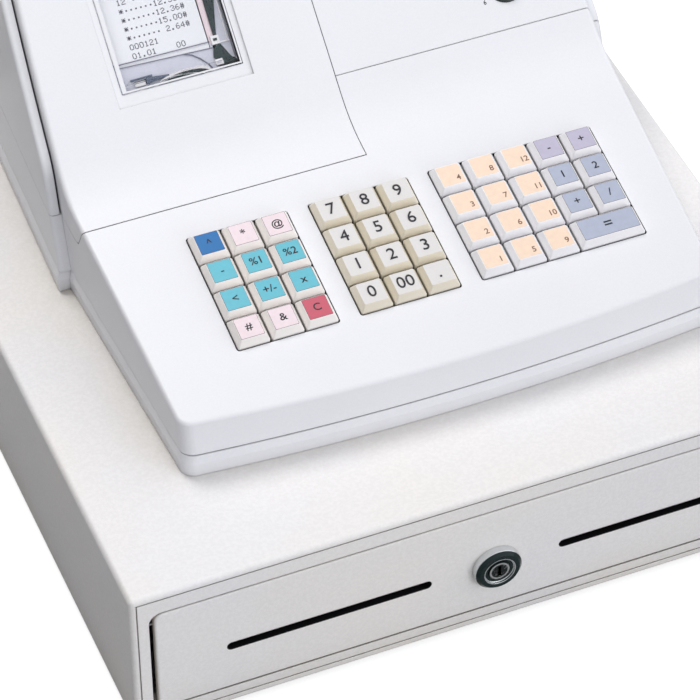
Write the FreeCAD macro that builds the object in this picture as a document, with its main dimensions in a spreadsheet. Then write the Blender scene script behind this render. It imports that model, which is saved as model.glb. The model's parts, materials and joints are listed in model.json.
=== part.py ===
import FreeCAD, Part
import math
import os
import re
import Sketcher
from FreeCAD import Placement, Rotation, Vector

# Counter register: a keyboard and printer unit standing on a wide steel cash drawer.
# Millimetres. +Z up, +X to the operator's right, +Y to the back.
# Origin: middle of the footprint, on the counter.

SIZES = [
    # cash drawer cabinet
    ("drawer_width", 410, "cabinet, side to side"),
    ("drawer_depth", 425, "cabinet, front to back"),
    ("drawer_height", 100, "counter to the top of the cabinet"),
    ("foot_height", 3, "cabinet stands this far off the counter"),
    ("foot_radius", 11, "rubber foot"),
    ("foot_inset", 34, "foot centre from the cabinet's sides"),
    ("sheet_wall", 1.6, "steel sheet of the cabinet"),
    ("cabinet_round", 3, "rolled edge of the cabinet"),
    ("groove_width", 0.7, "line where the sheet meets the front frame"),
    ("groove_inset", 3.4, "that line from the cabinet's outline"),
    ("frame_side", 10, "front frame beside the opening"),
    ("frame_top", 13.4, "front frame above the opening"),
    ("frame_bottom", 10, "front frame below the opening"),
    ("frame_depth", 12, "front frame, front to back"),
    ("frame_corner", 7, "upper corners of the opening"),
    ("rail_reach", 13.5, "rail, from the cabinet's wall inwards"),
    ("rail_height", 2.2, "rail thickness"),
    ("rail_length", 392, "rail, front to back"),
    # drawer front
    ("panel_gap_side", 3.2, "opening to the panel, each side"),
    ("panel_gap_top", 1.3, "opening to the panel, top"),
    ("panel_gap_bottom", 0.6, "opening to the panel, bottom"),
    ("panel_thick", 4, "drawer front panel"),
    ("panel_corner", 5, "upper corners of the panel"),
    ("panel_round", 1.2, "front edge of the panel"),
    ("slip_slot_length", 116.3, "slot for notes and slips"),
    ("slip_slot_height", 5.6, "the same, height"),
    ("slip_slot_offset", 95, "slot's middle from the middle of the front"),
    ("slip_slot_level", 44.8, "slot's middle above the counter"),
    # sliding tray and till
    ("tray_width", 376, "sliding tray, outside"),
    ("tray_length", 380, "sliding tray, behind the panel"),
    ("tray_wall", 1.2, "tray sheet"),
    ("tray_floor_level", 16, "underside of the tray above the counter"),
    ("tray_top_level", 76, "top of the tray's walls above the counter"),
    ("tray_flange", 5.5, "flange that runs on the rail"),
    ("run_gap", 0.3, "gap between pieces that slide or seat"),
    ("till_gap_front", 22, "space for slips between panel and till"),
    ("till_length", 342, "till, front to back"),
    ("till_height", 50, "till"),
    ("till_wall", 2.4, "till walls"),
    ("till_floor", 2.4, "till floor"),
    ("coin_length", 104, "coin cups, front to back"),
    ("coin_round", 30, "scooped front and back of a coin cup"),
    ("till_columns", 5, "compartments side by side"),
    # lock
    ("lock_ring_radius", 13.5, "lock face"),
    ("lock_ring_height", 6, "lock face ahead of the panel"),
    ("lock_ring_bevel", 2, "bevel round the face"),
    ("lock_recess_radius", 8.6, "dished middle of the face"),
    ("lock_recess_depth", 1.2, "depth of that dish"),
    ("lock_barrel_radius", 9.5, "threaded barrel"),
    ("lock_barrel_length", 17, "barrel behind the panel's front"),
    ("lock_plug_radius", 6.2, "turning plug"),
    ("plug_gap", 0.08, "running gap round the plug"),
    ("plug_proud", 0.6, "plug ahead of the dish"),
    ("key_slot_width", 1.8, "keyway"),
    ("key_slot_height", 7.5, "keyway"),
    ("key_slot_depth", 8, "keyway"),
    ("cam_thick", 2.4, "locking cam"),
    ("cam_width", 11, "locking cam"),
    ("cam_length", 45, "locking cam beyond the axis"),
    # register: plan
    ("register_shift", 8, "register's middle right of the drawer's middle"),
    ("register_setback", 63.6, "register's foremost point behind the drawer front"),
    ("body_half_front", 154.5, "half width at the front corners"),
    ("body_half_waist", 161, "half width where the cheeks begin"),
    ("body_half_back", 154, "half width at the back"),
    ("waist_past", 2, "widest place behind the start of the slope"),
    ("body_depth", 335, "register, front to back"),
    ("front_corner_back", 8.4, "front corners behind the foremost point"),
    ("front_bow_radius", 1450, "bow of the front in plan"),
    ("front_lean_run", 3.7, "front of the case leans back by this, tray to deck"),
    ("corner_round", 8, "upright corners at the front"),
    ("back_round", 9, "upright corners at the back"),
    ("edge_round", 2.6, "edges of deck, slope and top"),
    ("cheek_thick", 6.6, "side cheek outside the body"),
    # register: profile
    ("tray_height", 13.5, "bottom tray of the register"),
    ("tray_undercut", 8.5, "lower part of the tray that draws in"),
    ("tray_draw", 0.6, "how far it draws in"),
    ("tray_ledge", 1.5, "upper part of the tray leans back by this"),
    ("tray_rim", 1.2, "tray beside the case's sides"),
    ("deck_edge_back", 5.6, "front edge of the key deck behind the foremost point"),
    ("deck_edge_height", 31.8, "front edge of the key deck"),
    ("deck_tilt", 11.45, "key deck from level"),
    ("slope_start_share", 0.50746, "where deck and slope would meet, as a share of the depth"),
    ("slope_blend", 62, "hollow between deck and slope"),
    ("body_height", 162, "top of the register above the drawer"),
    ("top_round", 12, "edge between slope and top"),
    ("top_flat", 28.4, "top, from the slope to its back edge"),
    ("back_lean_run", 19, "back wall leans forward by this"),
    ("lean_run", 6, "sides draw in by this much at the top of the back corners"),
    ("waist_blend", 300, "bend of the sides at the waist"),
    ("parting_height", 45.5, "joint between lower and upper mouldings"),
    ("part_gap", 0.4, "visible joint between mouldings"),
    # cheeks
    ("cheek_foot_ahead", 6, "front of the cheeks at the bottom, ahead of the slope's start"),
    ("cheek_bend_past", 20, "cheeks turn on to the slope, behind it"),
    ("cheek_drop", 9.4, "cheeks lie this far under the slope"),
    ("cheek_bend_round", 30, "that turn"),
    ("cheek_round", 2.4, "outer edges of the cheeks"),
    ("cheek_gap", 1, "cover to the inside of a cheek"),
    # wells and keys
    ("key_pitch", 19.5, "key to key"),
    ("key_gap", 0.9, "between two key caps"),
    ("well_play", 0.44, "well longer than its keys' pitch"),
    ("well_front", 43.1, "wells from the deck's front edge, along the deck"),
    ("well_left", -109.2, "left side of the first well"),
    ("well_space", 11.55, "deck between two wells"),
    ("well_depth", 13, "depth of a well"),
    ("key_rows", 4, "rows"),
    ("key_cap_height", 5, "cap above the deck"),
    ("key_shoulder", 0.9, "upright part of the cap above the deck"),
    ("key_skirt", 6, "cap below the deck"),
    ("key_draw", 30, "taper of the cap"),
    ("key_corner", 1.6, "cut-off upright corners of a cap"),
    ("stem_width", 5, "key stem, square"),
    ("stem_length", 12.5, "stem below the cap"),
    ("stem_gap", 0.3, "stem to its guide"),
    ("key_travel", 3.5, "how far a key goes down"),
    # printer cover
    ("cover_right", 5.4, "right side of the printer cover"),
    ("cover_front_ahead", 24.3, "front seam of the cover, ahead of the slope's start"),
    ("cover_tip_ahead", 16.5, "lower front corner of the cover's side, ahead of it"),
    ("cover_tip_round", 5, "that corner"),
    ("cover_wall", 2.5, "cover wall"),
    ("hinge_past_crest", 8.4, "cover hinge behind the front edge of the top"),
    ("hinge_radius", 8, "cover hinge barrel"),
    ("pin_radius", 2.5, "hinge pin"),
    ("pin_gap", 0.08, "running gap round the pin"),
    ("pin_length", 7, "hinge pin"),
    ("knuckle_left", -138, "left knuckle"),
    ("knuckle_width", 6, "left knuckle"),
    ("display_line_past", 20.3, "joint in front of the display panel, behind the slope's start"),
    # window in the cover, measured up the slope from the deck
    ("window_left", -113.3, "clear window"),
    ("window_right", -42.6, "clear window"),
    ("window_low", 46.8, "clear window, up the slope"),
    ("window_high", 120, "clear window, up the slope"),
    ("window_margin", 3.8, "recess beside and above the window"),
    ("window_apron", 7.3, "recess below the window"),
    ("window_recess", 1.3, "recess depth"),
    ("window_thick", 2, "clear sheet"),
    ("window_fit", 0.25, "window to its opening"),
    ("window_rib", 5, "rib round the clear sheet"),
    ("window_rib_width", 1.8, "rib round the clear sheet"),
    ("notch_length", 31, "finger notch in the window's lower edge"),
    ("notch_height", 3, "finger notch"),
    ("notch_middle", -80, "finger notch"),
    # bay under the cover
    ("bay_left", -134, "paper bay"),
    ("bay_right", -4, "paper bay"),
    ("bay_front_ahead", 8, "paper bay's front, ahead of the slope's start"),
    ("bay_back_gap", 4, "paper bay's back wall ahead of the hinge"),
    ("bay_floor", 18, "paper bay"),
    # printer, paper roll, spool
    ("plate_left", -121, "left plate of the printer frame, outside"),
    ("plate_right", -46, "right plate of the printer frame, outside"),
    ("plate_thick", 2.5, "frame plates"),
    ("paper_width", 57, "paper"),
    ("paper_left", -113.5, "left edge of the paper"),
    ("paper_thick", 0.4, "paper web"),
    ("paper_under_slope", 8.4, "paper below the slope's surface"),
    ("roll_radius", 29, "paper roll"),
    ("roll_core", 6, "paper roll core"),
    ("roll_wall_gap", 7, "paper roll to the bay's back wall"),
    ("spool_hinge_gap", 28, "take-up spool's axle ahead of the hinge"),
    ("spool_cover_gap", 5.3, "take-up spool's flange to the cover"),
    ("spool_flange", 14.5, "take-up spool flanges"),
    ("spool_wound", 11.5, "paper wound on the spool"),
    ("spool_axle", 3, "take-up spool axle"),
    ("printer_front_past", 6, "printer block, behind the slope's start"),
    ("printer_roll_gap", 8, "printer block to the paper roll"),
    ("printer_drop", 12, "printer block below the slope's surface"),
    # mode switch and display
    ("mode_right", 115.5, "mode switch"),
    ("mode_up", 52.5, "mode switch, up the slope"),
    ("mode_radius", 9, "mode switch rotor"),
    ("mode_depth", 12, "mode switch rotor"),
    ("mode_proud", 2, "mode switch ahead of the panel"),
    ("display_left", 24, "display window recess"),
    ("display_right", 140, "display window recess"),
    ("display_low", 76, "display recess, up the slope"),
    ("display_high", 112, "display recess, up the slope"),
    ("display_recess", 3, "display recess"),
    ("rear_display_low", 112, "rear display recess above the drawer"),
    ("rear_display_high", 142, "rear display recess above the drawer"),
    ("gland_right", 96, "cable gland hole in the back"),
    ("gland_height", 30, "cable gland hole in the back"),
    ("gland_radius", 4.5, "cable gland hole"),
    ("gland_depth", 14, "cable gland hole"),
    ("arc_share", 1.0001, "an arc that just spans its chord, as a share of the half circle"),
    ("overrun", 20, "cutting tools reach past the solid"),
]

# Ratios closer to one than this count as the same.
SAME = 1e-6

doc = FreeCAD.newDocument("CounterRegister")
sheet = doc.addObject("Spreadsheet::Sheet", "Sizes")
for row, (alias, value, note) in enumerate(SIZES, 1):
    sheet.set("A%d" % row, alias)
    sheet.set("B%d" % row, str(value))
    sheet.set("C%d" % row, note)
    sheet.setAlias("B%d" % row, alias)
doc.recompute()
S = {alias: float(value) for alias, value, note in SIZES}

# Places that follow from the sizes. Register places count from its foremost point and the drawer's top.
PLACES = {
    "slope_start": "slope_start_share * body_depth",
    "corner_height": "deck_edge_height + (slope_start - deck_edge_back) * tan(deck_tilt)",
    "top_back": "body_depth - back_lean_run",
    "crest_back": "top_back - top_flat",
    "rise": "(body_height - corner_height) / (crest_back - slope_start)",
    "slope_tilt": "atan(rise)",
    "front_lean": "atan(front_lean_run / (deck_edge_height - tray_height))",
    "waist_back": "slope_start + waist_past",
    "flare": "(body_half_waist - body_half_front) / (waist_back - front_corner_back)",
    "cheek_foot": "slope_start - cheek_foot_ahead",
    "cheek_bend": "slope_start + cheek_bend_past",
    "cheek_bend_height": "corner_height + cheek_bend_past * rise - cheek_drop",
    "cheek_step": "cheek_foot + tray_height * (cheek_bend - cheek_foot) / cheek_bend_height",
    "cheek_crest": "crest_back + cheek_drop / rise",
    "hinge_back": "crest_back + hinge_past_crest",
    "hinge_height": "body_height - hinge_radius",
    "cover_front": "slope_start - cover_front_ahead",
    "cover_front_height": "deck_edge_height + (cover_front - deck_edge_back) * tan(deck_tilt)",
    "cover_tip": "slope_start - cover_tip_ahead",
    "tip_slope": "(cover_front_height - parting_height) / (cover_tip - cover_front)",
    "display_line": "slope_start + display_line_past",
    "bay_front": "slope_start - bay_front_ahead",
    "bay_back": "hinge_back - bay_back_gap",
    "roll_back": "bay_back - roll_wall_gap - roll_radius",
    "roll_height": "bay_floor + run_gap + roll_radius",
    "printer_front": "slope_start + printer_front_past",
    "printer_back": "roll_back - roll_radius - printer_roll_gap",
    "spool_back": "hinge_back - spool_hinge_gap",
    "spool_height": "corner_height + (spool_back - slope_start) * rise"
                    " - (spool_flange + cover_wall + spool_cover_gap) / cos(slope_tilt)",
}


def bound(text):
    """Turn 'drawer_width / 2' into an expression on the sheet, with the places written out."""
    def swap(found):
        word = found.group(0)
        if word in PLACES:
            return "(" + bound(PLACES[word]) + ")"
        return "Sizes." + word if word in S else word
    return re.sub(r"[a-z][a-z0-9_]*", swap, text)


def number(text):
    return float(sheet.evalExpression(re.sub(r"Sizes\.", "", bound(text))))


def bind(obj, prop, text):
    obj.setExpression(prop, bound(text))


def plane(body, role):
    return [o for o in body.Origin.OriginFeatures if o.Role == role][0]


def sketch(body, name, role, points, lift=None, arcs=None):
    """Closed outline through named points; arcs maps a segment to its radius."""
    sk = body.newObject("Sketcher::SketchObject", name)
    sk.AttachmentSupport = [(plane(body, role), "")]
    sk.MapMode = "FlatFace"
    if lift:
        bind(sk, "AttachmentOffset.Base.z", lift)
    arcs = arcs or {}
    xy = [(number(a), number(b)) for a, b in points]
    count = len(xy)
    ends = []
    for i in range(count):
        a = Vector(xy[i][0], xy[i][1], 0)
        b = Vector(xy[(i + 1) % count][0], xy[(i + 1) % count][1], 0)
        if i in arcs:
            radius = number(arcs[i])
            chord = b.sub(a)
            side = Vector(chord.y, -chord.x, 0).normalize()
            sag = radius - math.sqrt(radius ** 2 - (chord.Length / 2) ** 2)
            middle = a.add(chord.multiply(0.5)).add(side.multiply(sag))
            sk.addGeometry(Part.Arc(a, middle, b), False)
        else:
            sk.addGeometry(Part.LineSegment(a, b), False)
        ends.append((1, 2))
    for i in range(count):
        sk.addConstraint(Sketcher.Constraint("Coincident", i, 2, (i + 1) % count, 1))
    for i, (ta, tb) in enumerate(points):
        j = sk.addConstraint(Sketcher.Constraint("DistanceX", -1, 1, i, 1, xy[i][0]))
        sk.setExpression("Constraints[%d]" % j, bound(ta))
        j = sk.addConstraint(Sketcher.Constraint("DistanceY", -1, 1, i, 1, xy[i][1]))
        sk.setExpression("Constraints[%d]" % j, bound(tb))
    for i, text in arcs.items():
        j = sk.addConstraint(Sketcher.Constraint("Radius", i, number(text)))
        sk.setExpression("Constraints[%d]" % j, bound(text))
    return sk


def circle(body, name, role, x, y, radius, lift=None):
    sk = body.newObject("Sketcher::SketchObject", name)
    sk.AttachmentSupport = [(plane(body, role), "")]
    sk.MapMode = "FlatFace"
    if lift:
        bind(sk, "AttachmentOffset.Base.z", lift)
    sk.addGeometry(Part.Circle(Vector(number(x), number(y), 0), Vector(0, 0, 1), number(radius)), False)
    j = sk.addConstraint(Sketcher.Constraint("DistanceX", -1, 1, 0, 3, number(x)))
    sk.setExpression("Constraints[%d]" % j, bound(x))
    j = sk.addConstraint(Sketcher.Constraint("DistanceY", -1, 1, 0, 3, number(y)))
    sk.setExpression("Constraints[%d]" % j, bound(y))
    j = sk.addConstraint(Sketcher.Constraint("Radius", 0, number(radius)))
    sk.setExpression("Constraints[%d]" % j, bound(radius))
    return sk


def pad(body, sk, length, middle=False, back=False, taper=None):
    feature = body.newObject("PartDesign::Pad", sk.Name + "Pad")
    feature.Profile = sk
    bind(feature, "Length", length)
    feature.Midplane = middle
    feature.Reversed = back
    if taper:
        bind(feature, "TaperAngle", taper)
    sk.Visibility = False
    doc.recompute()
    return feature


def pocket(body, sk, length, middle=False, back=False):
    before = body.Shape.Volume
    feature = body.newObject("PartDesign::Pocket", sk.Name + "Pocket")
    feature.Profile = sk
    bind(feature, "Length", length)
    feature.Midplane = middle
    feature.Reversed = back
    doc.recompute()
    if body.Shape.Volume >= before:
        raise RuntimeError(body.Label + ": " + sk.Name + " cuts nothing")
    return feature


def round_edges(body, name, radius, pick, kind="PartDesign::Fillet"):
    """Round the edges that pick() accepts."""
    base = body.Tip
    names = ["Edge%d" % (i + 1) for i, e in enumerate(base.Shape.Edges) if pick(e)]
    if not names:
        raise RuntimeError(body.Label + ": no edge for " + name)
    feature = body.newObject(kind, name)
    feature.Base = (base, names)
    bind(feature, "Radius" if kind.endswith("Fillet") else "Size", radius)
    doc.recompute()
    return feature


def along(edge, axis):
    if edge.Degenerated or not isinstance(edge.Curve, Part.Line):
        return False
    way = edge.tangentAt(edge.FirstParameter)
    return abs(abs(way.dot(axis)) - 1) < SAME


def near(one, other):
    """True where two places lie closer together than a visible joint is wide."""
    return abs(one - other) < S["part_gap"]


def draft(body, pick, neutral, angle):
    """Draw in the faces that pick() accepts, from the face that neutral() accepts."""
    base = body.Tip
    faces = [("Face%d" % (i + 1), face) for i, face in enumerate(base.Shape.Faces)]
    feature = body.newObject("PartDesign::Draft", base.Name + "Draft")
    feature.Base = (base, [name for name, face in faces if pick(face)])
    feature.NeutralPlane = (base, [name for name, face in faces if neutral(face)][:1])
    bind(feature, "Angle", angle)
    doc.recompute()
    return feature


def new_body(name):
    body = doc.addObject("PartDesign::Body", name)
    body.Label = name
    return body


X, Y, Z = Vector(1, 0, 0), Vector(0, 1, 0), Vector(0, 0, 1)
PARTS = []
ORIGIN_Y = "-(drawer_depth - lock_ring_height) / 2"


def keep(obj, name, register=False):
    """Name a finished piece and put it in the shared frame."""
    obj.Label = name
    if register:
        bind(obj, "Placement.Base.x", "register_shift")
        bind(obj, "Placement.Base.y", ORIGIN_Y + " + register_setback")
        bind(obj, "Placement.Base.z", "drawer_height")
    else:
        bind(obj, "Placement.Base.y", ORIGIN_Y)
    PARTS.append(obj)
    return obj


def block(name, role, points, length, middle=True, lift=None, arcs=None, back=False):
    body = new_body(name)
    pad(body, sketch(body, name + "Outline", role, points, lift, arcs), length, middle, back)
    return body


def rect(x0, y0, x1, y1):
    return [(x0, y0), (x1, y0), (x1, y1), (x0, y1)]


def cut_rect(half_x, half_y, corner):
    """Rectangle round the origin with its corners cut off."""
    return [("-%s + %s" % (half_x, corner), "-" + half_y), ("%s - %s" % (half_x, corner), "-" + half_y),
            (half_x, "-%s + %s" % (half_y, corner)), (half_x, "%s - %s" % (half_y, corner)),
            ("%s - %s" % (half_x, corner), half_y), ("-%s + %s" % (half_x, corner), half_y),
            ("-" + half_x, "%s - %s" % (half_y, corner)), ("-" + half_x, "-%s + %s" % (half_y, corner))]


def cut(name, base, *tools):
    for i, tool in enumerate(tools):
        feature = doc.addObject("Part::Cut", "%sCut%d" % (name, i))
        feature.Base, feature.Tool = base, tool
        doc.recompute()
        if feature.Shape.isNull() or feature.Shape.Volume >= base.Shape.Volume * (1 - SAME):
            raise RuntimeError("%s: tool %s cuts nothing" % (name, tool.Label))
        base = feature
    return base


def common(name, *shapes):
    feature = doc.addObject("Part::MultiCommon", name)
    feature.Shapes = list(shapes)
    doc.recompute()
    return feature


def fuse(name, *shapes):
    feature = doc.addObject("Part::MultiFuse", name)
    feature.Shapes = list(shapes)
    feature.Refine = True
    doc.recompute()
    return feature


def rod(name, x0, length, y, z, radius):
    """Cylinder along X."""
    feature = doc.addObject("Part::Cylinder", name)
    bind(feature, "Radius", radius)
    bind(feature, "Height", length)
    feature.Placement = Placement(Vector(0, 0, 0), Rotation(Y, 90))
    bind(feature, "Placement.Base.x", x0)
    bind(feature, "Placement.Base.y", y)
    bind(feature, "Placement.Base.z", z)
    doc.recompute()
    return feature


# Cash drawer cabinet: folded steel sheet round a front frame, open at the front.
# Local frame: y = 0 is the front, z = 0 the counter.

cabinet = block("CabinetBody", "XZ_Plane",
                rect("-drawer_width / 2", "foot_height", "drawer_width / 2", "drawer_height"),
                "drawer_depth", middle=False, back=True)
round_edges(cabinet, "CabinetRound", "cabinet_round",
            lambda e: ((along(e, Y) or along(e, X)) and near(e.CenterOfMass.z, S["drawer_height"]))
            or (along(e, Z) and near(e.CenterOfMass.y, 0)))
pocket(cabinet, sketch(cabinet, "CabinetInside", "XZ_Plane",
                       rect("-drawer_width / 2 + sheet_wall", "foot_height + sheet_wall",
                            "drawer_width / 2 - sheet_wall", "drawer_height - sheet_wall"),
                       lift="-frame_depth"),
       "drawer_depth - frame_depth - sheet_wall")
pocket(cabinet, sketch(cabinet, "CabinetMouth", "XZ_Plane",
                       rect("-drawer_width / 2 + frame_side", "foot_height + frame_bottom",
                            "drawer_width / 2 - frame_side", "drawer_height - frame_top")),
       "frame_depth + overrun")
round_edges(cabinet, "MouthRound", "frame_corner",
            lambda e: along(e, Y) and near(e.Length, S["frame_depth"])
            and near(e.CenterOfMass.z, S["drawer_height"] - S["frame_top"]))
groove = sketch(cabinet, "FrameLine", "XZ_Plane",
                rect("-drawer_width / 2 + groove_inset", "foot_height + groove_inset",
                     "drawer_width / 2 - groove_inset", "drawer_height - groove_inset"))
inner = [("-drawer_width / 2 + groove_inset + groove_width", "foot_height + groove_inset + groove_width"),
         ("drawer_width / 2 - groove_inset - groove_width", "foot_height + groove_inset + groove_width"),
         ("drawer_width / 2 - groove_inset - groove_width", "drawer_height - groove_inset - groove_width"),
         ("-drawer_width / 2 + groove_inset + groove_width", "drawer_height - groove_inset - groove_width")]
at = [(number(a), number(b)) for a, b in inner]
for i in range(4):
    groove.addGeometry(Part.LineSegment(Vector(at[i][0], at[i][1], 0),
                                        Vector(at[(i + 1) % 4][0], at[(i + 1) % 4][1], 0)), False)
for i in range(4):
    groove.addConstraint(Sketcher.Constraint("Coincident", 4 + i, 2, 4 + (i + 1) % 4, 1))
for i, (ta, tb) in enumerate(inner):
    j = groove.addConstraint(Sketcher.Constraint("DistanceX", -1, 1, 4 + i, 1, at[i][0]))
    groove.setExpression("Constraints[%d]" % j, bound(ta))
    j = groove.addConstraint(Sketcher.Constraint("DistanceY", -1, 1, 4 + i, 1, at[i][1]))
    groove.setExpression("Constraints[%d]" % j, bound(tb))
pocket(cabinet, groove, "groove_width")
for side, sign in (("Left", "-"), ("Right", "")):
    outer = sign + "(drawer_width / 2 - sheet_wall / 2)"
    inner_x = sign + "(drawer_width / 2 - sheet_wall - rail_reach)"
    lo, hi = (outer, inner_x) if sign else (inner_x, outer)
    pad(cabinet, sketch(cabinet, "Rail" + side, "XZ_Plane",
                        rect(lo, "tray_top_level - tray_wall - run_gap - rail_height",
                             hi, "tray_top_level - tray_wall - run_gap"),
                        lift="-frame_depth"),
        "rail_length", back=True)
keep(cabinet, "drawer_cabinet")

feet = []
for i, (sx, far) in enumerate((("-", False), ("", False), ("-", True), ("", True))):
    foot = doc.addObject("Part::Cylinder", "Foot%d" % i)
    bind(foot, "Radius", "foot_radius")
    bind(foot, "Height", "foot_height")
    bind(foot, "Placement.Base.x", sx + "(drawer_width / 2 - foot_inset)")
    bind(foot, "Placement.Base.y", "drawer_depth - foot_inset" if far else "foot_inset")
    feet.append(foot)
doc.recompute()
rubber = doc.addObject("Part::Compound", "RubberFeet")
rubber.Links = feet
doc.recompute()
keep(rubber, "rubber_feet")

# Drawer front: flush panel with two slip slots and the lock's hole.
front = block("PanelBody", "XZ_Plane",
              rect("-drawer_width / 2 + frame_side + panel_gap_side",
                   "foot_height + frame_bottom + panel_gap_bottom",
                   "drawer_width / 2 - frame_side - panel_gap_side",
                   "drawer_height - frame_top - panel_gap_top"),
              "panel_thick", middle=False, back=True)
round_edges(front, "PanelCorner", "panel_corner",
            lambda e: along(e, Y) and e.CenterOfMass.z > S["drawer_height"] / 2)
round_edges(front, "PanelRound", "panel_round", lambda e: near(e.BoundBox.YMax, 0))
for side, sign in (("Left", "-"), ("Right", "")):
    half = "(slip_slot_length - slip_slot_height) / 2"
    mid = sign + "slip_slot_offset"
    low = "slip_slot_level - slip_slot_height / 2"
    high = "slip_slot_level + slip_slot_height / 2"
    pocket(front, sketch(front, "SlipSlot" + side, "XZ_Plane",
                         rect(mid + " - " + half, low, mid + " + " + half, high),
                         arcs={1: "slip_slot_height / 2 * arc_share", 3: "slip_slot_height / 2 * arc_share"}),
           "panel_thick + overrun")
pocket(front, circle(front, "LockHole", "XZ_Plane", "0", "slip_slot_level", "lock_barrel_radius + plug_gap"),
       "panel_thick + overrun")
keep(front, "drawer_front")

# Sliding tray: folded sheet, open at the front where the panel closes it.
tray = block("TrayBody", "XZ_Plane",
             rect("-tray_width / 2", "tray_floor_level", "tray_width / 2", "tray_top_level"),
             "tray_length", middle=False, back=True, lift="-panel_thick")
pocket(tray, sketch(tray, "TrayInside", "XZ_Plane",
                    rect("-tray_width / 2 + tray_wall", "tray_floor_level + tray_wall",
                         "tray_width / 2 - tray_wall", "tray_top_level + overrun"),
                    lift="-panel_thick + overrun"),
       "tray_length + overrun - tray_wall")
for side, sign in (("Left", "-"), ("Right", "")):
    outer = sign + "(tray_width / 2 + tray_flange)"
    inner_x = sign + "(tray_width / 2 - tray_wall / 2)"
    lo, hi = (outer, inner_x) if sign else (inner_x, outer)
    pad(tray, sketch(tray, "Flange" + side, "XZ_Plane",
                     rect(lo, "tray_top_level - tray_wall", hi, "tray_top_level"), lift="-panel_thick"),
        "tray_length", back=True)
keep(tray, "drawer_tray")

# Till: moulded insert with note compartments behind scooped coin cups.
column = "(tray_width - 2 * tray_wall - 2 * run_gap - till_wall) / till_columns"
till = block("TillBody", "XY_Plane",
             rect("-tray_width / 2 + tray_wall + run_gap", "panel_thick + till_gap_front",
                  "tray_width / 2 - tray_wall - run_gap", "panel_thick + till_gap_front + till_length"),
             "till_height", middle=False, lift="tray_floor_level + tray_wall + run_gap")
till_low = "tray_floor_level + tray_wall + run_gap + till_floor"
till_top = "tray_floor_level + tray_wall + run_gap + till_height"
cup_front = "panel_thick + till_gap_front + till_wall"
first = "-tray_width / 2 + tray_wall + run_gap + till_wall + (%s - till_wall) / 2" % column
for i in range(int(S["till_columns"])):
    lift_x = first + " + %d * %s" % (i, column)
    pocket(till, sketch(till, "CoinCup%d" % i, "YZ_Plane",
                        [(cup_front, till_top + " + overrun"),
                         (cup_front, till_low + " + coin_round"),
                         (cup_front + " + coin_round", till_low),
                         (cup_front + " + coin_length - coin_round", till_low),
                         (cup_front + " + coin_length", till_low + " + coin_round"),
                         (cup_front + " + coin_length", till_top + " + overrun")],
                        lift=lift_x, arcs={1: "coin_round * arc_share", 3: "coin_round * arc_share"}),
           column + " - till_wall", middle=True)
    note_front = cup_front + " + coin_length + till_wall"
    pocket(till, sketch(till, "NoteBay%d" % i, "YZ_Plane",
                        rect(note_front, till_low,
                             "panel_thick + till_gap_front + till_length - till_wall",
                             till_top + " + overrun"), lift=lift_x),
           column + " - till_wall", middle=True)
keep(till, "till_insert")

# Lock: bevelled face and barrel turned round the Y axis, and the plug with its cam.
barrel = new_body("LockBarrelBody")
sk = sketch(barrel, "BarrelProfile", "YZ_Plane", [
    ("-lock_ring_height + lock_recess_depth", "slip_slot_level + lock_plug_radius + plug_gap"),
    ("-lock_ring_height + lock_recess_depth", "slip_slot_level + lock_recess_radius"),
    ("-lock_ring_height", "slip_slot_level + lock_recess_radius"),
    ("-lock_ring_height", "slip_slot_level + lock_ring_radius - lock_ring_bevel"),
    ("-lock_ring_height + lock_ring_bevel", "slip_slot_level + lock_ring_radius"),
    ("0", "slip_slot_level + lock_ring_radius"),
    ("0", "slip_slot_level + lock_barrel_radius"),
    ("lock_barrel_length", "slip_slot_level + lock_barrel_radius"),
    ("lock_barrel_length", "slip_slot_level + lock_plug_radius + plug_gap")])
axis_sk = barrel.newObject("Sketcher::SketchObject", "BarrelAxis")
axis_sk.AttachmentSupport = [(plane(barrel, "YZ_Plane"), "")]
axis_sk.MapMode = "FlatFace"
axis_sk.addGeometry(Part.LineSegment(Vector(0, S["slip_slot_level"], 0),
                                     Vector(S["lock_barrel_length"], S["slip_slot_level"], 0)), False)
for k, (px, py) in enumerate((("0", "slip_slot_level"), ("lock_barrel_length", "slip_slot_level"))):
    j = axis_sk.addConstraint(Sketcher.Constraint("DistanceX", -1, 1, 0, k + 1, number(px)))
    axis_sk.setExpression("Constraints[%d]" % j, bound(px))
    j = axis_sk.addConstraint(Sketcher.Constraint("DistanceY", -1, 1, 0, k + 1, number(py)))
    axis_sk.setExpression("Constraints[%d]" % j, bound(py))
turn = barrel.newObject("PartDesign::Revolution", "BarrelTurn")
turn.Profile = sk
turn.ReferenceAxis = (axis_sk, ["Edge1"])
turn.Angle = 360
doc.recompute()
keep(barrel, "lock_barrel")

plug = new_body("LockPlugBody")
pad(plug, circle(plug, "PlugRound", "XZ_Plane", "0", "slip_slot_level", "lock_plug_radius",
                 lift="lock_ring_height - lock_recess_depth + plug_proud"),
    "lock_ring_height - lock_recess_depth + plug_proud + lock_barrel_length + run_gap + cam_thick", back=True)
pocket(plug, sketch(plug, "Keyway", "XZ_Plane",
                    rect("-key_slot_width / 2", "slip_slot_level - key_slot_height / 2",
                         "key_slot_width / 2", "slip_slot_level + key_slot_height / 2"),
                    lift="lock_ring_height"),
       "key_slot_depth")
pad(plug, sketch(plug, "Cam", "XZ_Plane",
                 rect("-cam_length", "slip_slot_level - cam_width / 2", "cam_width / 2",
                      "slip_slot_level + cam_width / 2"),
                 lift="-lock_barrel_length - run_gap"),
    "cam_thick", back=True)
keep(plug, "lock_plug")

# Register body: a side profile, a plan and a front outline meet in one form.
# Local frame: x = 0 its middle, y = 0 its foremost point, z = 0 the drawer's top.
# inset moves every face inwards, so joints and walls come from the same outline.


def slope_z(back):
    return "(corner_height + (%s - slope_start) * rise)" % back


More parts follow.
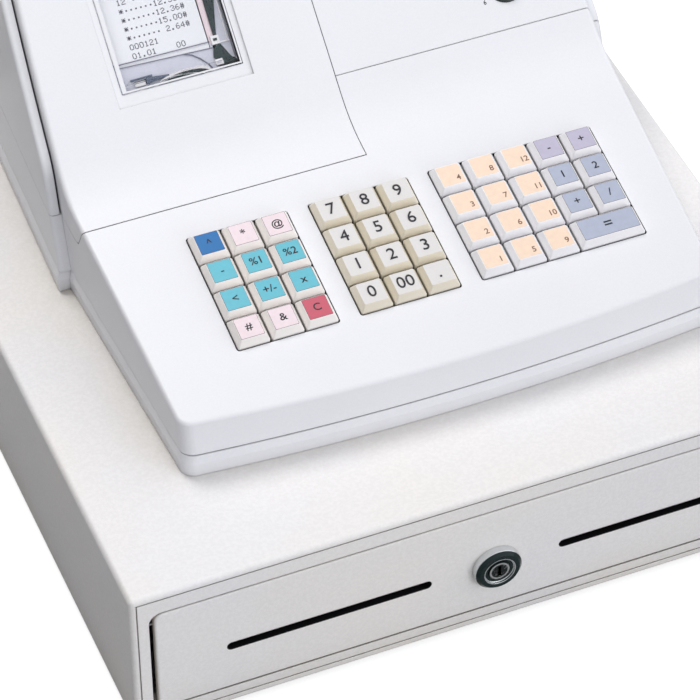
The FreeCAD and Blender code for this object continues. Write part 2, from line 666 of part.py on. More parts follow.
def deck_z(back):
    return "(deck_edge_height + (%s - deck_edge_back) * tan(deck_tilt))" % back


def half_width(back, extra="0"):
    """Half the width ahead of the waist."""
    return "(body_half_waist + %s - flare * (waist_back - %s))" % (extra, back)


def plan_points(inset, extra, level):
    """Plan at a level above the drawer: flared to the waist, drawn in behind it."""
    far = "(body_half_back - lean_run * %s / body_height)" % level
    taper = "((body_half_waist - %s) / (body_depth - waist_back))" % far
    reach = "(waist_blend * tan((atan(flare) + atan(%s)) / 2))" % taper
    waist = "(body_half_waist + %s - %s)" % (extra, inset)
    right = [("%s - flare * (waist_back + overrun)" % waist, "-overrun"),
             ("%s - %s * sin(atan(flare))" % (waist, reach), "waist_back - %s * cos(atan(flare))" % reach),
             ("%s - %s * sin(atan(%s))" % (waist, reach, taper), "waist_back + %s * cos(atan(%s))" % (reach, taper)),
             ("%s - %s * (body_depth + overrun - waist_back)" % (waist, taper), "body_depth + overrun")]
    return [("-(%s)" % right[0][0], right[0][1])] + right + [("-(%s)" % x, y) for x, y in right[:0:-1]]


def drawn_plan(name, inset, extra="0"):
    """Upright block of the plan that gets narrower towards the top at the back."""
    body = new_body(name + "Plan")
    low = sketch(body, name + "PlanLow", "XY_Plane", plan_points(inset, extra, "(-overrun)"),
                 lift="-overrun", arcs={2: "waist_blend", 6: "waist_blend"})
    high = sketch(body, name + "PlanHigh", "XY_Plane", plan_points(inset, extra, "(body_height + overrun)"),
                  lift="body_height + overrun", arcs={2: "waist_blend", 6: "waist_blend"})
    loft = body.newObject("PartDesign::AdditiveLoft", name + "PlanLoft")
    loft.Profile = low
    loft.Sections = [high]
    loft.Ruled = True
    doc.recompute()
    return body


def bowed_front(name, inset):
    """Block that leans back with the case's front and has its bow in plan."""
    half = "(body_half_waist + overrun)"
    ends = "(front_bow_radius - sqrt(front_bow_radius ^ 2 - %s ^ 2) + %s)" % (half, inset)
    bow = block(name + "Bow", "XY_Plane", [
        ("-" + half, ends), (half, ends), (half, "2 * body_depth"), ("-" + half, "2 * body_depth")],
        "4 * body_height", arcs={0: "front_bow_radius"})
    bow.Placement = Placement(Vector(0, 0, 0), Rotation(X, -number("front_lean")))
    bind(bow, "Placement.Rotation.Angle", "-front_lean")
    bind(bow, "Placement.Base.y", "deck_edge_back")
    bind(bow, "Placement.Base.z", "deck_edge_height")
    doc.recompute()
    return bow


def narrow_form(name, inset):
    """Key deck, hollow, slope and top, moved inwards by inset."""
    down_deck = "(%s / cos(deck_tilt))" % inset
    down_slope = "(%s / cos(slope_tilt))" % inset
    meet = "(slope_start + (%s - %s) / (rise - tan(deck_tilt)))" % (down_slope, down_deck)
    crest = "(crest_back + %s * tan(slope_tilt / 2))" % inset
    side = block(name + "Side", "YZ_Plane", [
        ("-overrun", "-overrun"),
        ("-overrun", deck_z("-overrun") + " - " + down_deck),
        (meet, deck_z(meet) + " - " + down_deck),
        (crest, "body_height - " + inset),
        ("top_back - " + inset, "body_height - " + inset),
        ("body_depth - " + inset, "-overrun")], "drawer_width")
    round_edges(side, name + "Hollow", "slope_blend", lambda e: along(e, X)
                and near(e.CenterOfMass.y, number(meet)) and e.CenterOfMass.z > 0)
    round_edges(side, name + "Crest", "top_round", lambda e: along(e, X)
                and near(e.CenterOfMass.y, number(crest)) and e.CenterOfMass.z > 0)
    return common(name, side, drawn_plan(name, inset), bowed_front(name, inset))


def wide_form(name):
    """The back of the body with its side cheeks."""
    side = block(name + "Side", "YZ_Plane", [
        ("cheek_foot - overrun * (cheek_bend - cheek_foot) / cheek_bend_height", "-overrun"),
        ("cheek_bend", "cheek_bend_height"),
        ("cheek_crest", "body_height"),
        ("top_back", "body_height"),
        ("body_depth", "-overrun")], "2 * drawer_width")
    round_edges(side, name + "Bend", "cheek_bend_round", lambda e: along(e, X)
                and near(e.CenterOfMass.y, number("cheek_bend")) and e.CenterOfMass.z > 0)
    round_edges(side, name + "Crest", "top_round", lambda e: along(e, X)
                and near(e.CenterOfMass.y, number("cheek_crest")) and e.CenterOfMass.z > 0)
    return common(name, side, drawn_plan(name, "0", "cheek_thick"))


def going_on(name, feature):
    """Body whose next features work on a finished form."""
    body = new_body(name)
    body.BaseFeature = feature
    doc.recompute()
    return body


def meets(body, edge, one, other):
    """True where a face that one() accepts meets a face that other() accepts, by their normals."""
    if edge.Degenerated:
        return False
    middle = edge.valueAt((edge.FirstParameter + edge.LastParameter) / 2)
    faces = body.Tip.Shape.ancestorsOfType(edge, Part.Face)
    if len(faces) != 2:
        return False
    a, b = [face.normalAt(*face.Surface.parameter(middle)) for face in faces]
    return (one(a) and other(b)) or (one(b) and other(a))


def wall(normal):
    return abs(normal.z) < 0.3


def upward(normal):
    return normal.z > 0.4


def sideways(normal):
    return abs(normal.x) > 0.9


def across(normal):
    return abs(normal.x) < 0.3


def front_half(edge):
    return edge.CenterOfMass.y < S["body_depth"] / 2


narrow = going_on("NarrowRounded", narrow_form("Narrow", "0"))
round_edges(narrow, "FrontCorners", "corner_round", lambda e: front_half(e)
            and meets(narrow, e, wall, wall) and meets(narrow, e, sideways, across))
round_edges(narrow, "BackCorners", "back_round", lambda e: not front_half(e)
            and meets(narrow, e, wall, wall) and meets(narrow, e, sideways, across))
round_edges(narrow, "TopEdges", "edge_round", lambda e: meets(narrow, e, wall, upward))
wide = going_on("WideRounded", wide_form("Wide"))
round_edges(wide, "CheekBackCorners", "back_round", lambda e: e.CenterOfMass.y > S["body_depth"] * 3 / 4
            and meets(wide, e, wall, wall) and meets(wide, e, sideways, across))
round_edges(wide, "CheekEdges", "cheek_round", lambda e: e.CenterOfMass.z > 0
            and meets(wide, e, sideways, across))
whole = fuse("Whole", narrow, wide)

# Bottom tray: same plan, its lower part drawn in towards the drawer.
tray_half = [("(body_half_front + tray_rim)", "front_corner_back"),
             (half_width("cheek_step", "tray_rim"), "cheek_step"),
             (half_width("cheek_step", "tray_rim + cheek_thick"), "cheek_step"),
             ("(body_half_waist + tray_rim + cheek_thick)", "waist_back"),
             ("(body_half_back + tray_rim + cheek_thick)", "body_depth")]
tray_plan = [("-" + tray_half[0][0], tray_half[0][1])] + tray_half + [("-" + x, y) for x, y in tray_half[:0:-1]]
bottom = new_body("BottomBody")
pad(bottom, sketch(bottom, "BottomUpper", "XY_Plane", tray_plan, lift="tray_undercut",
                   arcs={0: "front_bow_radius"}),
    "tray_height - tray_undercut", taper="-atan(tray_ledge / (tray_height - tray_undercut))")
pad(bottom, sketch(bottom, "BottomLower", "XY_Plane", tray_plan, lift="tray_undercut",
                   arcs={0: "front_bow_radius"}),
    "tray_undercut", back=True, taper="-atan(tray_draw / tray_undercut)")
round_edges(bottom, "BottomCorners", "corner_round", lambda e: not e.Degenerated
            and abs(e.CenterOfMass.y - S["front_corner_back"]) < 2 * S["tray_ledge"]
            and e.BoundBox.ZLength > S["tray_height"] / 4)
keep(bottom, "bottom_tray", register=True)

# Lower moulding: key deck, sides up to the parting height, and the slope up to the display joint.
above_tray = block("AboveTray", "XZ_Plane",
                   rect("-drawer_width", "tray_height + part_gap", "drawer_width", "body_height + overrun"),
                   "2 * body_depth + overrun")
cover_cut = block("CoverCut", "YZ_Plane", [
    ("cover_tip", "parting_height"),
    ("body_depth + 2 * overrun", "parting_height"),
    ("body_depth + 2 * overrun", "body_height + overrun"),
    ("cover_front - overrun / tip_slope", "body_height + overrun"),
    ("cover_front - overrun / tip_slope", "cover_front_height + overrun")],
    "drawer_width", middle=False, lift="cover_right", back=True)
round_edges(cover_cut, "CoverCutTip", "cover_tip_round", lambda e: along(e, X)
            and near(e.CenterOfMass.y, number("cover_tip")) and e.CenterOfMass.z < number("cover_front_height"))
display_cut = block("DisplayCut", "YZ_Plane",
                    rect("display_line", "parting_height",
                         "body_depth + 2 * overrun", "body_height + overrun"),
                    "drawer_width", middle=False, lift="cover_right - overrun")
bay = block("PaperBay", "XY_Plane", rect("bay_left", "bay_front", "bay_right", "bay_back"),
            "body_height", middle=False, lift="bay_floor")
lower = cut("Lower", common("LowerSolid", whole, above_tray), cover_cut, display_cut, bay)

row_length = "(key_rows * key_pitch + well_play)"
well_units = (3, 3, 5)
well_x = ["well_left"]
for units in well_units[:-1]:
    well_x.append("%s + %d * key_pitch + well_play + well_space" % (well_x[-1], units))
wells = []
for i, units in enumerate(well_units):
    well = block("Well%d" % i, "XY_Plane",
                 rect(well_x[i], "well_front", "%s + %d * key_pitch + well_play" % (well_x[i], units),
                      "well_front + " + row_length),
                 "well_depth + overrun", middle=False, lift="-well_depth")
    round_edges(well, "Well%dCorners" % i, "key_corner", lambda e: along(e, Z))
    well.Placement = Placement(Vector(0, 0, 0), Rotation(X, S["deck_tilt"]))
    bind(well, "Placement.Rotation.Angle", "deck_tilt")
    bind(well, "Placement.Base.y", "deck_edge_back")
    bind(well, "Placement.Base.z", "deck_edge_height")
    wells.append(well)

# Keys: one drawn-in cap with its skirt and stem for each place in the wells.
KEYS = []
for group, units in enumerate(well_units):
    for r in range(int(S["key_rows"])):
        column_no = 0
        while column_no < units:
            wide_key = group == 2 and r == 0 and column_no == 3
            KEYS.append((group, r, column_no, 2 if wide_key else 1))
            column_no += 2 if wide_key else 1
stems = []
for group, r, c, span in KEYS:
    name = "key_%s_%d%d" % (("function", "number", "department")[group], int(S["key_rows"]) - r, c + 1)
    key = new_body(name)
    cap = cut_rect("(%d * key_pitch - key_gap) / 2" % span, "(key_pitch - key_gap) / 2", "key_corner")
    pad(key, sketch(key, name + "_cap", "XY_Plane", cap, lift="key_shoulder"), "key_cap_height - key_shoulder")
    draft(key, lambda f: abs(f.normalAt(0, 0).z) < SAME, lambda f: near(f.CenterOfMass.z, S["key_shoulder"]),
          "key_draw")
    pad(key, sketch(key, name + "_skirt", "XY_Plane", cap, lift="-key_skirt"), "key_skirt + key_shoulder")
    pad(key, sketch(key, name + "_stem", "XY_Plane",
                    rect("-stem_width / 2", "-stem_width / 2", "stem_width / 2", "stem_width / 2"),
                    lift="-key_skirt"), "stem_length", back=True)
    px = "%s + well_play / 2 + %s * key_pitch" % (well_x[group], c + span / 2)
    pv = "(well_front + well_play / 2 + %s * key_pitch)" % (r + 0.5)
    key.Placement = Placement(Vector(0, 0, 0), Rotation(X, S["deck_tilt"]))
    bind(key, "Placement.Rotation.Angle", "deck_tilt")
    key.Label = name
    bind(key, "Placement.Base.x", "register_shift + " + px)
    bind(key, "Placement.Base.y", ORIGIN_Y + " + register_setback + deck_edge_back + %s * cos(deck_tilt)" % pv)
    bind(key, "Placement.Base.z", "drawer_height + deck_edge_height + %s * sin(deck_tilt)" % pv)
    PARTS.append(key)
    guide = block(name + "_guide", "XY_Plane",
                  rect("-stem_width / 2 - stem_gap", "-stem_width / 2 - stem_gap",
                       "stem_width / 2 + stem_gap", "stem_width / 2 + stem_gap"),
                  "stem_length + key_travel + stem_gap", middle=False, lift="-key_skirt", back=True)
    guide.Placement = key.Placement
    bind(guide, "Placement.Rotation.Angle", "deck_tilt")
    bind(guide, "Placement.Base.x", px)
    bind(guide, "Placement.Base.y", "deck_edge_back + %s * cos(deck_tilt)" % pv)
    bind(guide, "Placement.Base.z", "deck_edge_height + %s * sin(deck_tilt)" % pv)
    stems.append(guide)
doc.recompute()
tools = doc.addObject("Part::Compound", "KeyHoles")
tools.Links = stems
doc.recompute()
well_tool = fuse("WellTool", *wells)
gland = doc.addObject("Part::Cylinder", "GlandHole")
bind(gland, "Radius", "gland_radius")
bind(gland, "Height", "gland_depth + overrun")
gland.Placement = Placement(Vector(0, 0, 0), Rotation(X, -90))
bind(gland, "Placement.Base.x", "gland_right")
bind(gland, "Placement.Base.y", "body_depth - gland_depth")
bind(gland, "Placement.Base.z", "gland_height")
doc.recompute()
keep(cut("KeyboardCase", lower, well_tool, tools, gland), "keyboard_case", register=True)

# Upper moulding: display panel at the right, back wall, side cheeks.
above_part = block("AbovePart", "XZ_Plane",
                   rect("-drawer_width", "parting_height + part_gap", "drawer_width", "body_height + overrun"),
                   "2 * body_depth + overrun")
right_front = block("RightFront", "YZ_Plane",
                    rect("-overrun", "0", "display_line + part_gap", "body_height + overrun"),
                    "drawer_width", middle=False, lift="cover_right")
cover_space = narrow_form("CoverSpace", "-cheek_gap")
space_side = block("CoverSpaceSide", "YZ_Plane", [
    ("0", "0"),
    ("hinge_back", "0"),
    ("hinge_back", "hinge_height"),
    ("hinge_back + hinge_radius + part_gap", "hinge_height"),
    ("hinge_back + hinge_radius + part_gap", "body_height + overrun"),
    ("0", "body_height + overrun")],
    "drawer_width", middle=False, lift="cover_right", back=True)
cover_tool = common("CoverTool", cover_space, space_side)
roll_tool = common("RollTool", cover_space, rod("RollSpace", "-drawer_width / 2",
                                               "drawer_width / 2 + cover_right", "hinge_back", "hinge_height",
                                               "hinge_radius + part_gap"))
upper = cut("Upper", common("UpperSolid", whole, above_part), right_front, cover_tool, roll_tool)


def on_slope(obj):
    """Place a tool whose local x is across and y is up the slope."""
    obj.Placement = Placement(Vector(0, 0, 0), Rotation(X, number("slope_tilt")))
    bind(obj, "Placement.Rotation.Angle", "slope_tilt")
    bind(obj, "Placement.Base.y", "slope_start")
    bind(obj, "Placement.Base.z", "corner_height")
    doc.recompute()
    return obj


display_tool = on_slope(block("DisplayTool", "XY_Plane",
                              rect("display_left", "display_low", "display_right", "display_high"),
                              "display_recess + overrun", middle=False, lift="-display_recess"))
mode_hole = new_body("ModeHole")
pad(mode_hole, circle(mode_hole, "ModeHoleRound", "XY_Plane", "mode_right", "mode_up",
                      "mode_radius + plug_gap", lift="-mode_depth - run_gap"),
    "mode_depth + overrun")
on_slope(mode_hole)
rear_tool = block("RearDisplayTool", "XZ_Plane",
                  rect("display_left", "rear_display_low", "display_right", "rear_display_high"),
                  "overrun", middle=False,
                  lift="-(top_back + (body_height - rear_display_high) * back_lean_run / (body_height + overrun)"
                       " - display_recess)",
                  back=True)
pin_left = rod("PinLeft", "knuckle_left + knuckle_width", "pin_length", "hinge_back", "hinge_height", "pin_radius")
pin_right = rod("PinRight", "cover_right - pin_length", "pin_length + cover_wall", "hinge_back", "hinge_height",
                "pin_radius")
knuckle = rod("Knuckle", "knuckle_left", "knuckle_width", "hinge_back", "hinge_height", "hinge_radius - pin_gap")
knuckle_web = block("KnuckleWeb", "YZ_Plane",
                    rect("hinge_back", "body_height - 2 * hinge_radius + pin_gap",
                         "hinge_back + 2 * hinge_radius", "body_height - hinge_radius"),
                    "knuckle_width", middle=False, lift="knuckle_left")
upper = cut("UpperWithTools", upper, display_tool, mode_hole, rear_tool)
upper_all = fuse("UpperAll", upper, knuckle_web, knuckle, pin_left, pin_right)
keep(upper_all, "upper_case", register=True)

# Printer cover: a thin shell that follows the body's form and turns on a barrel at the back.
cover_side = block("CoverSide", "YZ_Plane", [
    ("cover_tip + part_gap", "parting_height + part_gap"),
    ("hinge_back", "parting_height + part_gap"),
    ("hinge_back", "body_height + overrun"),
    ("cover_front - overrun / tip_slope + part_gap", "body_height + overrun"),
    ("cover_front - overrun / tip_slope + part_gap", "cover_front_height + overrun")],
    "drawer_width", middle=False, lift="cover_right - part_gap", back=True)
round_edges(cover_side, "CoverTip", "cover_tip_round", lambda e: along(e, X)
            and near(e.CenterOfMass.y, number("cover_tip + part_gap"))
            and e.CenterOfMass.z < number("cover_front_height"))
inner_form = narrow_form("CoverInner", "cover_wall")
inner_side = block("CoverInnerSide", "YZ_Plane",
                   rect("0", "-overrun", "hinge_back - hinge_radius - cover_wall", "body_height + overrun"),
                   "drawer_width", middle=False, lift="cover_right - part_gap - cover_wall", back=True)
cover_shell = cut("CoverShell", common("CoverOuter", narrow, cover_side),
                  common("CoverHollow", inner_form, inner_side))
under_barrel = block("UnderBarrel", "YZ_Plane",
                     rect("hinge_back - hinge_radius - 2 * cover_wall", "0", "hinge_back + hinge_radius",
                          "body_height - 2 * hinge_radius"),
                     "drawer_width", middle=False, lift="cover_right", back=True)
barrel_rod = common("BarrelRod", narrow, rod("BarrelFull", "-drawer_width / 2",
                                            "drawer_width / 2 + cover_right - part_gap",
                                            "hinge_back", "hinge_height", "hinge_radius"))
cover_shell = fuse("CoverWithBarrel", cut("CoverTrim", cover_shell, under_barrel), barrel_rod)
knuckle_slot = block("KnuckleSlot", "YZ_Plane",
                     rect("hinge_back - hinge_radius - cover_wall", "0", "body_depth", "body_height + overrun"),
                     "knuckle_width + 2 * part_gap", middle=False, lift="knuckle_left - part_gap")
pin_bore_left = rod("PinBoreLeft", "knuckle_left", "knuckle_width + pin_length + run_gap", "hinge_back",
                    "hinge_height", "pin_radius + pin_gap")
pin_bore_right = rod("PinBoreRight", "cover_right - pin_length - run_gap", "pin_length + overrun",
                     "hinge_back", "hinge_height", "pin_radius + pin_gap")
recess_tool = on_slope(block("RecessTool", "XY_Plane",
                             rect("window_left - window_margin", "window_low - window_apron",
                                  "window_right + window_margin", "window_high + window_margin"),
                             "window_recess + overrun", middle=False, lift="-window_recess"))
opening_tool = on_slope(block("OpeningTool", "XY_Plane",
                              rect("window_left", "window_low", "window_right", "window_high"),
                              "2 * overrun", middle=True))
cover = cut("PrinterCover", cover_shell, knuckle_slot, pin_bore_left, pin_bore_right, recess_tool, opening_tool)
keep(cover, "printer_cover", register=True)

# Clear window: a sheet with a rib round it and a finger notch in its lower edge.
window = new_body("WindowBody")
pad(window, sketch(window, "WindowSheet", "XY_Plane",
                   rect("window_left + window_fit", "window_low + window_fit",
                        "window_right - window_fit", "window_high - window_fit"),
                   lift="-window_recess - window_thick"), "window_thick")
pad(window, sketch(window, "WindowRib", "XY_Plane",
                   rect("window_left + window_fit", "window_low + window_fit",
                        "window_right - window_fit", "window_high - window_fit"),
                   lift="-window_recess - window_rib"), "window_rib - window_thick")
pocket(window, sketch(window, "WindowRibInside", "XY_Plane",
                      rect("window_left + window_fit + window_rib_width",
                           "window_low + window_fit + window_rib_width + notch_height",
                           "window_right - window_fit - window_rib_width",
                           "window_high - window_fit - window_rib_width"),
                      lift="-window_recess - window_rib - overrun"),
       "window_rib - window_thick + overrun", back=True)
pocket(window, sketch(window, "FingerNotch", "XY_Plane",
                      [("notch_middle - notch_length / 2", "window_low - overrun"),
                       ("notch_middle + notch_length / 2", "window_low - overrun"),
                       ("notch_middle + notch_length / 2", "window_low + window_fit"),
                       ("notch_middle - notch_length / 2", "window_low + window_fit")],
                      lift="overrun",
                      arcs={2: "notch_height / 2 + notch_length ^ 2 / (8 * notch_height)"}),
       "3 * overrun")
on_slope(window)
bind(window, "Placement.Base.x", "register_shift")
bind(window, "Placement.Base.y", ORIGIN_Y + " + register_setback + slope_start")
bind(window, "Placement.Base.z", "drawer_height + corner_height")
window.Label = "cover_window"
PARTS.append(window)

# Printer: block under the window between two frame plates that carry the take-up spool.
plates = []
for side, x0 in (("Left", "plate_left"), ("Right", "plate_right - plate_thick")):
    plates.append(block("Plate" + side, "YZ_Plane", [
        ("printer_front", "bay_floor + run_gap"),
        ("spool_back + spool_flange", "bay_floor + run_gap"),
        ("spool_back + spool_flange", "spool_height + spool_axle * 2"),
        ("spool_back - spool_flange / 2", "spool_height + spool_axle * 2"),
        ("printer_back", slope_z("printer_back") + " - printer_drop"),
        ("printer_front", slope_z("printer_front") + " - printer_drop")],
        "plate_thick", middle=False, lift=x0))
head = block("PrinterBlock", "YZ_Plane", [
    ("printer_front", "bay_floor + run_gap"),
    ("printer_back", "bay_floor + run_gap"),
    ("printer_back", slope_z("printer_back") + " - printer_drop"),
    ("printer_front", slope_z("printer_front") + " - printer_drop")],
    "plate_right - plate_left", middle=False, lift="plate_left")
axle_seat = block("AxleSeat", "YZ_Plane", [
    ("spool_back - spool_axle - pin_gap", "spool_height"),
    ("spool_back + spool_axle + pin_gap", "spool_height"),
    ("spool_back + spool_axle + pin_gap", "spool_height + overrun"),
    ("spool_back - spool_axle - pin_gap", "spool_height + overrun")],
    "drawer_width", arcs={0: "(spool_axle + pin_gap) * arc_share"})
keep(cut("PrinterUnit", fuse("PrinterSolid", head, *plates), axle_seat), "printer_unit", register=True)

# Paper: supply roll lying in the bay, web under the window, and the spool that takes it up.
roll = new_body("RollBody")
sk = circle(roll, "RollRound", "YZ_Plane", "0", "0", "roll_radius", lift="paper_left")
pad(roll, sk, "paper_width")
pocket(roll, circle(roll, "RollCore", "YZ_Plane", "0", "0", "roll_core", lift="paper_left - overrun"),
       "paper_width + 2 * overrun", back=True)
bind(roll, "Placement.Base.x", "register_shift")
bind(roll, "Placement.Base.y", ORIGIN_Y + " + register_setback + roll_back")
bind(roll, "Placement.Base.z", "drawer_height + roll_height")
roll.Label = "paper_roll"
PARTS.append(roll)

spool = new_body("SpoolBody")
pad(spool, circle(spool, "SpoolAxle", "YZ_Plane", "0", "0", "spool_axle", lift="plate_left"),
    "plate_right - plate_left")
pad(spool, circle(spool, "SpoolWound", "YZ_Plane", "0", "0", "spool_wound", lift="paper_left"), "paper_width")
pad(spool, circle(spool, "SpoolLeft", "YZ_Plane", "0", "0", "spool_flange",
                  lift="paper_left - run_gap - window_thick"), "window_thick + run_gap")
pad(spool, circle(spool, "SpoolRight", "YZ_Plane", "0", "0", "spool_flange",
                  lift="paper_left + paper_width"), "window_thick")
bind(spool, "Placement.Base.x", "register_shift")
bind(spool, "Placement.Base.y", ORIGIN_Y + " + register_setback + spool_back")
bind(spool, "Placement.Base.z", "drawer_height + spool_height")
spool.Label = "takeup_spool"
PARTS.append(spool)

web_high = "((spool_back - slope_start - spool_flange) / cos(slope_tilt))"
web = on_slope(block("WebBody", "XY_Plane",
                     rect("paper_left", "window_low - notch_height", "paper_left + paper_width", web_high),
                     "paper_thick", middle=False, lift="-paper_under_slope"))
bind(web, "Placement.Base.x", "register_shift")
bind(web, "Placement.Base.y", ORIGIN_Y + " + register_setback + slope_start")
bind(web, "Placement.Base.z", "drawer_height + corner_height")
web.Label = "paper_web"
PARTS.append(web)

# Mode switch: keyed rotor in the display panel.
mode = new_body("ModeBody")
pad(mode, circle(mode, "ModeRound", "XY_Plane", "0", "0", "mode_radius", lift="-mode_depth"),
    "mode_depth + mode_proud")
pocket(mode, sketch(mode, "ModeKeyway", "XY_Plane",
                    rect("-key_slot_width / 2", "-key_slot_height / 2", "key_slot_width / 2",
                         "key_slot_height / 2"), lift="mode_proud + overrun"),
       "key_slot_depth + overrun")
mode.Placement = Placement(Vector(0, 0, 0), Rotation(X, number("slope_tilt")))
bind(mode, "Placement.Rotation.Angle", "slope_tilt")
bind(mode, "Placement.Base.x", "register_shift + mode_right")
bind(mode, "Placement.Base.y",
     ORIGIN_Y + " + register_setback + slope_start + mode_up * cos(slope_tilt)")
bind(mode, "Placement.Base.z", "drawer_height + corner_height + mode_up * sin(slope_tilt)")
mode.Label = "mode_switch"
PARTS.append(mode)

doc.recompute()
for obj in doc.Objects:
    if "Invalid" in obj.State or "Error" in obj.State:
        raise RuntimeError(obj.Label + " did not recompute: " + str(obj.State))
for obj in PARTS:
    if obj.Shape.isNull() or not obj.Shape.isValid() or not obj.Shape.Solids:
        raise RuntimeError(obj.Label + " has no valid solid")
os.makedirs("parts", exist_ok=True)
for obj in PARTS:
    obj.Shape.exportStep(os.path.join("parts", obj.Label + ".step"))
    print(obj.Label, len(obj.Shape.Solids), round(obj.Shape.Volume))
print("pieces", len(PARTS))
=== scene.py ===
import json
import math

import bmesh
import bpy
from bpy.props import FloatProperty, FloatVectorProperty, PointerProperty, StringProperty
from mathutils import Matrix, Vector


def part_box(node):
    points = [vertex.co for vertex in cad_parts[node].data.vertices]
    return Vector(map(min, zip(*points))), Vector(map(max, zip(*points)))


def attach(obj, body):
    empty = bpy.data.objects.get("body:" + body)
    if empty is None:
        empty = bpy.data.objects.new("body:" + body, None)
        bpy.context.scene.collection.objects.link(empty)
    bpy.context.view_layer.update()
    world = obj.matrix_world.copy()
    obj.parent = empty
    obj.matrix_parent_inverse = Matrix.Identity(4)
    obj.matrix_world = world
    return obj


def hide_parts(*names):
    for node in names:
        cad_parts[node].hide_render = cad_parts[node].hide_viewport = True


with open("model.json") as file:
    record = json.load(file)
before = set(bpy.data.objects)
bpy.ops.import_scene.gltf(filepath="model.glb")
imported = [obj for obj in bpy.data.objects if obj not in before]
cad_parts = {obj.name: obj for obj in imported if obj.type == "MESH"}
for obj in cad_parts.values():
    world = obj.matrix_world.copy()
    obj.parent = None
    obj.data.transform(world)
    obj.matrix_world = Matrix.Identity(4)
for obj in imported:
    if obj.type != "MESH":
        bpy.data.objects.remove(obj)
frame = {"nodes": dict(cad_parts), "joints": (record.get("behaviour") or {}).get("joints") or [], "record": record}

bl_info = {
    "name": "Counter Register",
    "version": (1, 0, 0),
    "blender": (4, 5, 0),
    "location": "View3D > Sidebar > Register",
    "description": "Finishes for a counter register on a cash drawer, and its small fitted pieces",
    "category": "Object",
}

MM = 0.001
# A noise has nearly all of its values in the first span, and its common ones in the second
NOISE_SPAN, NOISE_MIDDLE = (0.3, 0.7), (0.35, 0.65)
# Prints lie this far above the face under them and have this thickness; their strokes are bolder by a share of
# the characters' height
PRINT_LIFT, PRINT_THICK, PRINT_BOLD = 0.03 * MM, 0.02 * MM, 0.014
NODES = frame["nodes"]
JOINTS = {joint["name"]: joint for joint in frame["joints"]}
BODIES = {node: body for body, nodes in frame["record"]["behaviour"]["bodies"].items() for node in nodes}
NODE_SLOTS = {part["node"]: part["material_slot"] for part in frame["record"]["subparts"]}
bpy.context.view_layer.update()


# Frames of reference

def slanted(axis):
    """Basis whose third axis is the outward normal of the deck or the slope."""
    normal = Vector(axis).normalized()
    across = Vector((1, 0, 0))
    return across, normal.cross(across), normal


DECK = slanted([-a for a in next(j["axis"] for n, j in JOINTS.items() if n.startswith("key_"))])
SLOPE = slanted(JOINTS["mode_turn"]["axis"])
MODE_AT = Vector(JOINTS["mode_turn"]["pos_m"])


def span(node, basis):
    """Lowest and highest values of a node's vertices along the three axes of a basis."""
    points = [[v.co.dot(axis) for axis in basis] for v in NODES[node].data.vertices]
    return [min(p[i] for p in points) for i in range(3)], [max(p[i] for p in points) for i in range(3)]


def placed(middle, basis):
    """Matrix that lays a piece drawn in the XY plane on a face through middle."""
    matrix = Matrix((basis[0], basis[1], basis[2])).transposed().to_4x4()
    matrix.translation = middle
    return matrix


def linked(name, data):
    """New object in the scene."""
    made = bpy.data.objects.new(name, data)
    bpy.context.scene.collection.objects.link(made)
    return made


# Shader helpers

class Graph:
    """Short hand for building a node tree."""

    def __init__(self, tree):
        self.tree = tree

    def node(self, kind, values=None, **props):
        made = self.tree.nodes.new(kind)
        for name, value in props.items():
            setattr(made, name, value)
        for name, value in (values or {}).items():
            self.put(made.inputs[name], value)
        return made

    def put(self, socket, value):
        """Link an output to an input, or set its value. A node stands for its first output, and a colour has
        three parts."""
        if isinstance(value, bpy.types.Node):
            value = value.outputs[0]
        if isinstance(value, bpy.types.NodeSocket):
            self.tree.links.new(value, socket)
        else:
            socket.default_value = (*value, 1.0) if socket.type == "RGBA" else value

    def maths(self, operation, a, b=0.0, c=0.0, clamp=False):
        return self.node("ShaderNodeMath", {0: a, 1: b, 2: c}, operation=operation, use_clamp=clamp)

    def ramp(self, value, low, high, to_low=0.0, to_high=1.0):
        return self.node("ShaderNodeMapRange", {"Value": value, "From Min": low, "From Max": high,
                                                "To Min": to_low, "To Max": to_high})

    def mix(self, factor, a, b, blend="MIX"):
        made = self.node("ShaderNodeMix", data_type="RGBA", blend_type=blend)
        for place, value in ((0, factor), (6, a), (7, b)):
            self.put(made.inputs[place], value)
        return made.outputs[2]

    def noise(self, vector, scale, detail=2.0, rough=0.5):
        return self.node("ShaderNodeTexNoise", {"Vector": vector, "Scale": scale, "Detail": detail,
                                                "Roughness": rough})

    def place(self):
        """Object coordinates of the point."""
        return self.node("ShaderNodeTexCoord").outputs["Object"]

    def dot(self, a, b):
        return self.node("ShaderNodeVectorMath", {0: a, 1: b}, operation="DOT_PRODUCT").outputs["Value"]

    def darker(self, colour, share):
        """Colour times a grey value."""
        grey = self.node("ShaderNodeCombineColor", {0: share, 1: share, 2: share})
        return self.mix(1.0, colour, grey, "MULTIPLY")

    def join(self, *parts):
        """Several geometries as one."""
        made = self.node("GeometryNodeJoinGeometry")
        for part in parts:
            self.put(made.inputs[0], part)
        return made

    def band(self, value, low, high, soft):
        """One between two values, with soft ends."""
        return self.maths("MULTIPLY", self.ramp(value, low - soft, low), self.ramp(value, high + soft, high))


def scaled(colour, share):
    return [part * share for part in colour]


def new_tree(family, name, inputs, outputs):
    """Node group with named sockets: its graph, what it is given and what it gives."""
    tree = bpy.data.node_groups.new(name, family)
    for way, sockets in (("INPUT", inputs), ("OUTPUT", outputs)):
        for label, kind, *value in sockets:
            socket = tree.interface.new_socket(label, in_out=way, socket_type="NodeSocket" + kind)
            if value:
                socket.default_value = value[0]
    return Graph(tree), tree.nodes.new("NodeGroupInput").outputs, tree.nodes.new("NodeGroupOutput").inputs


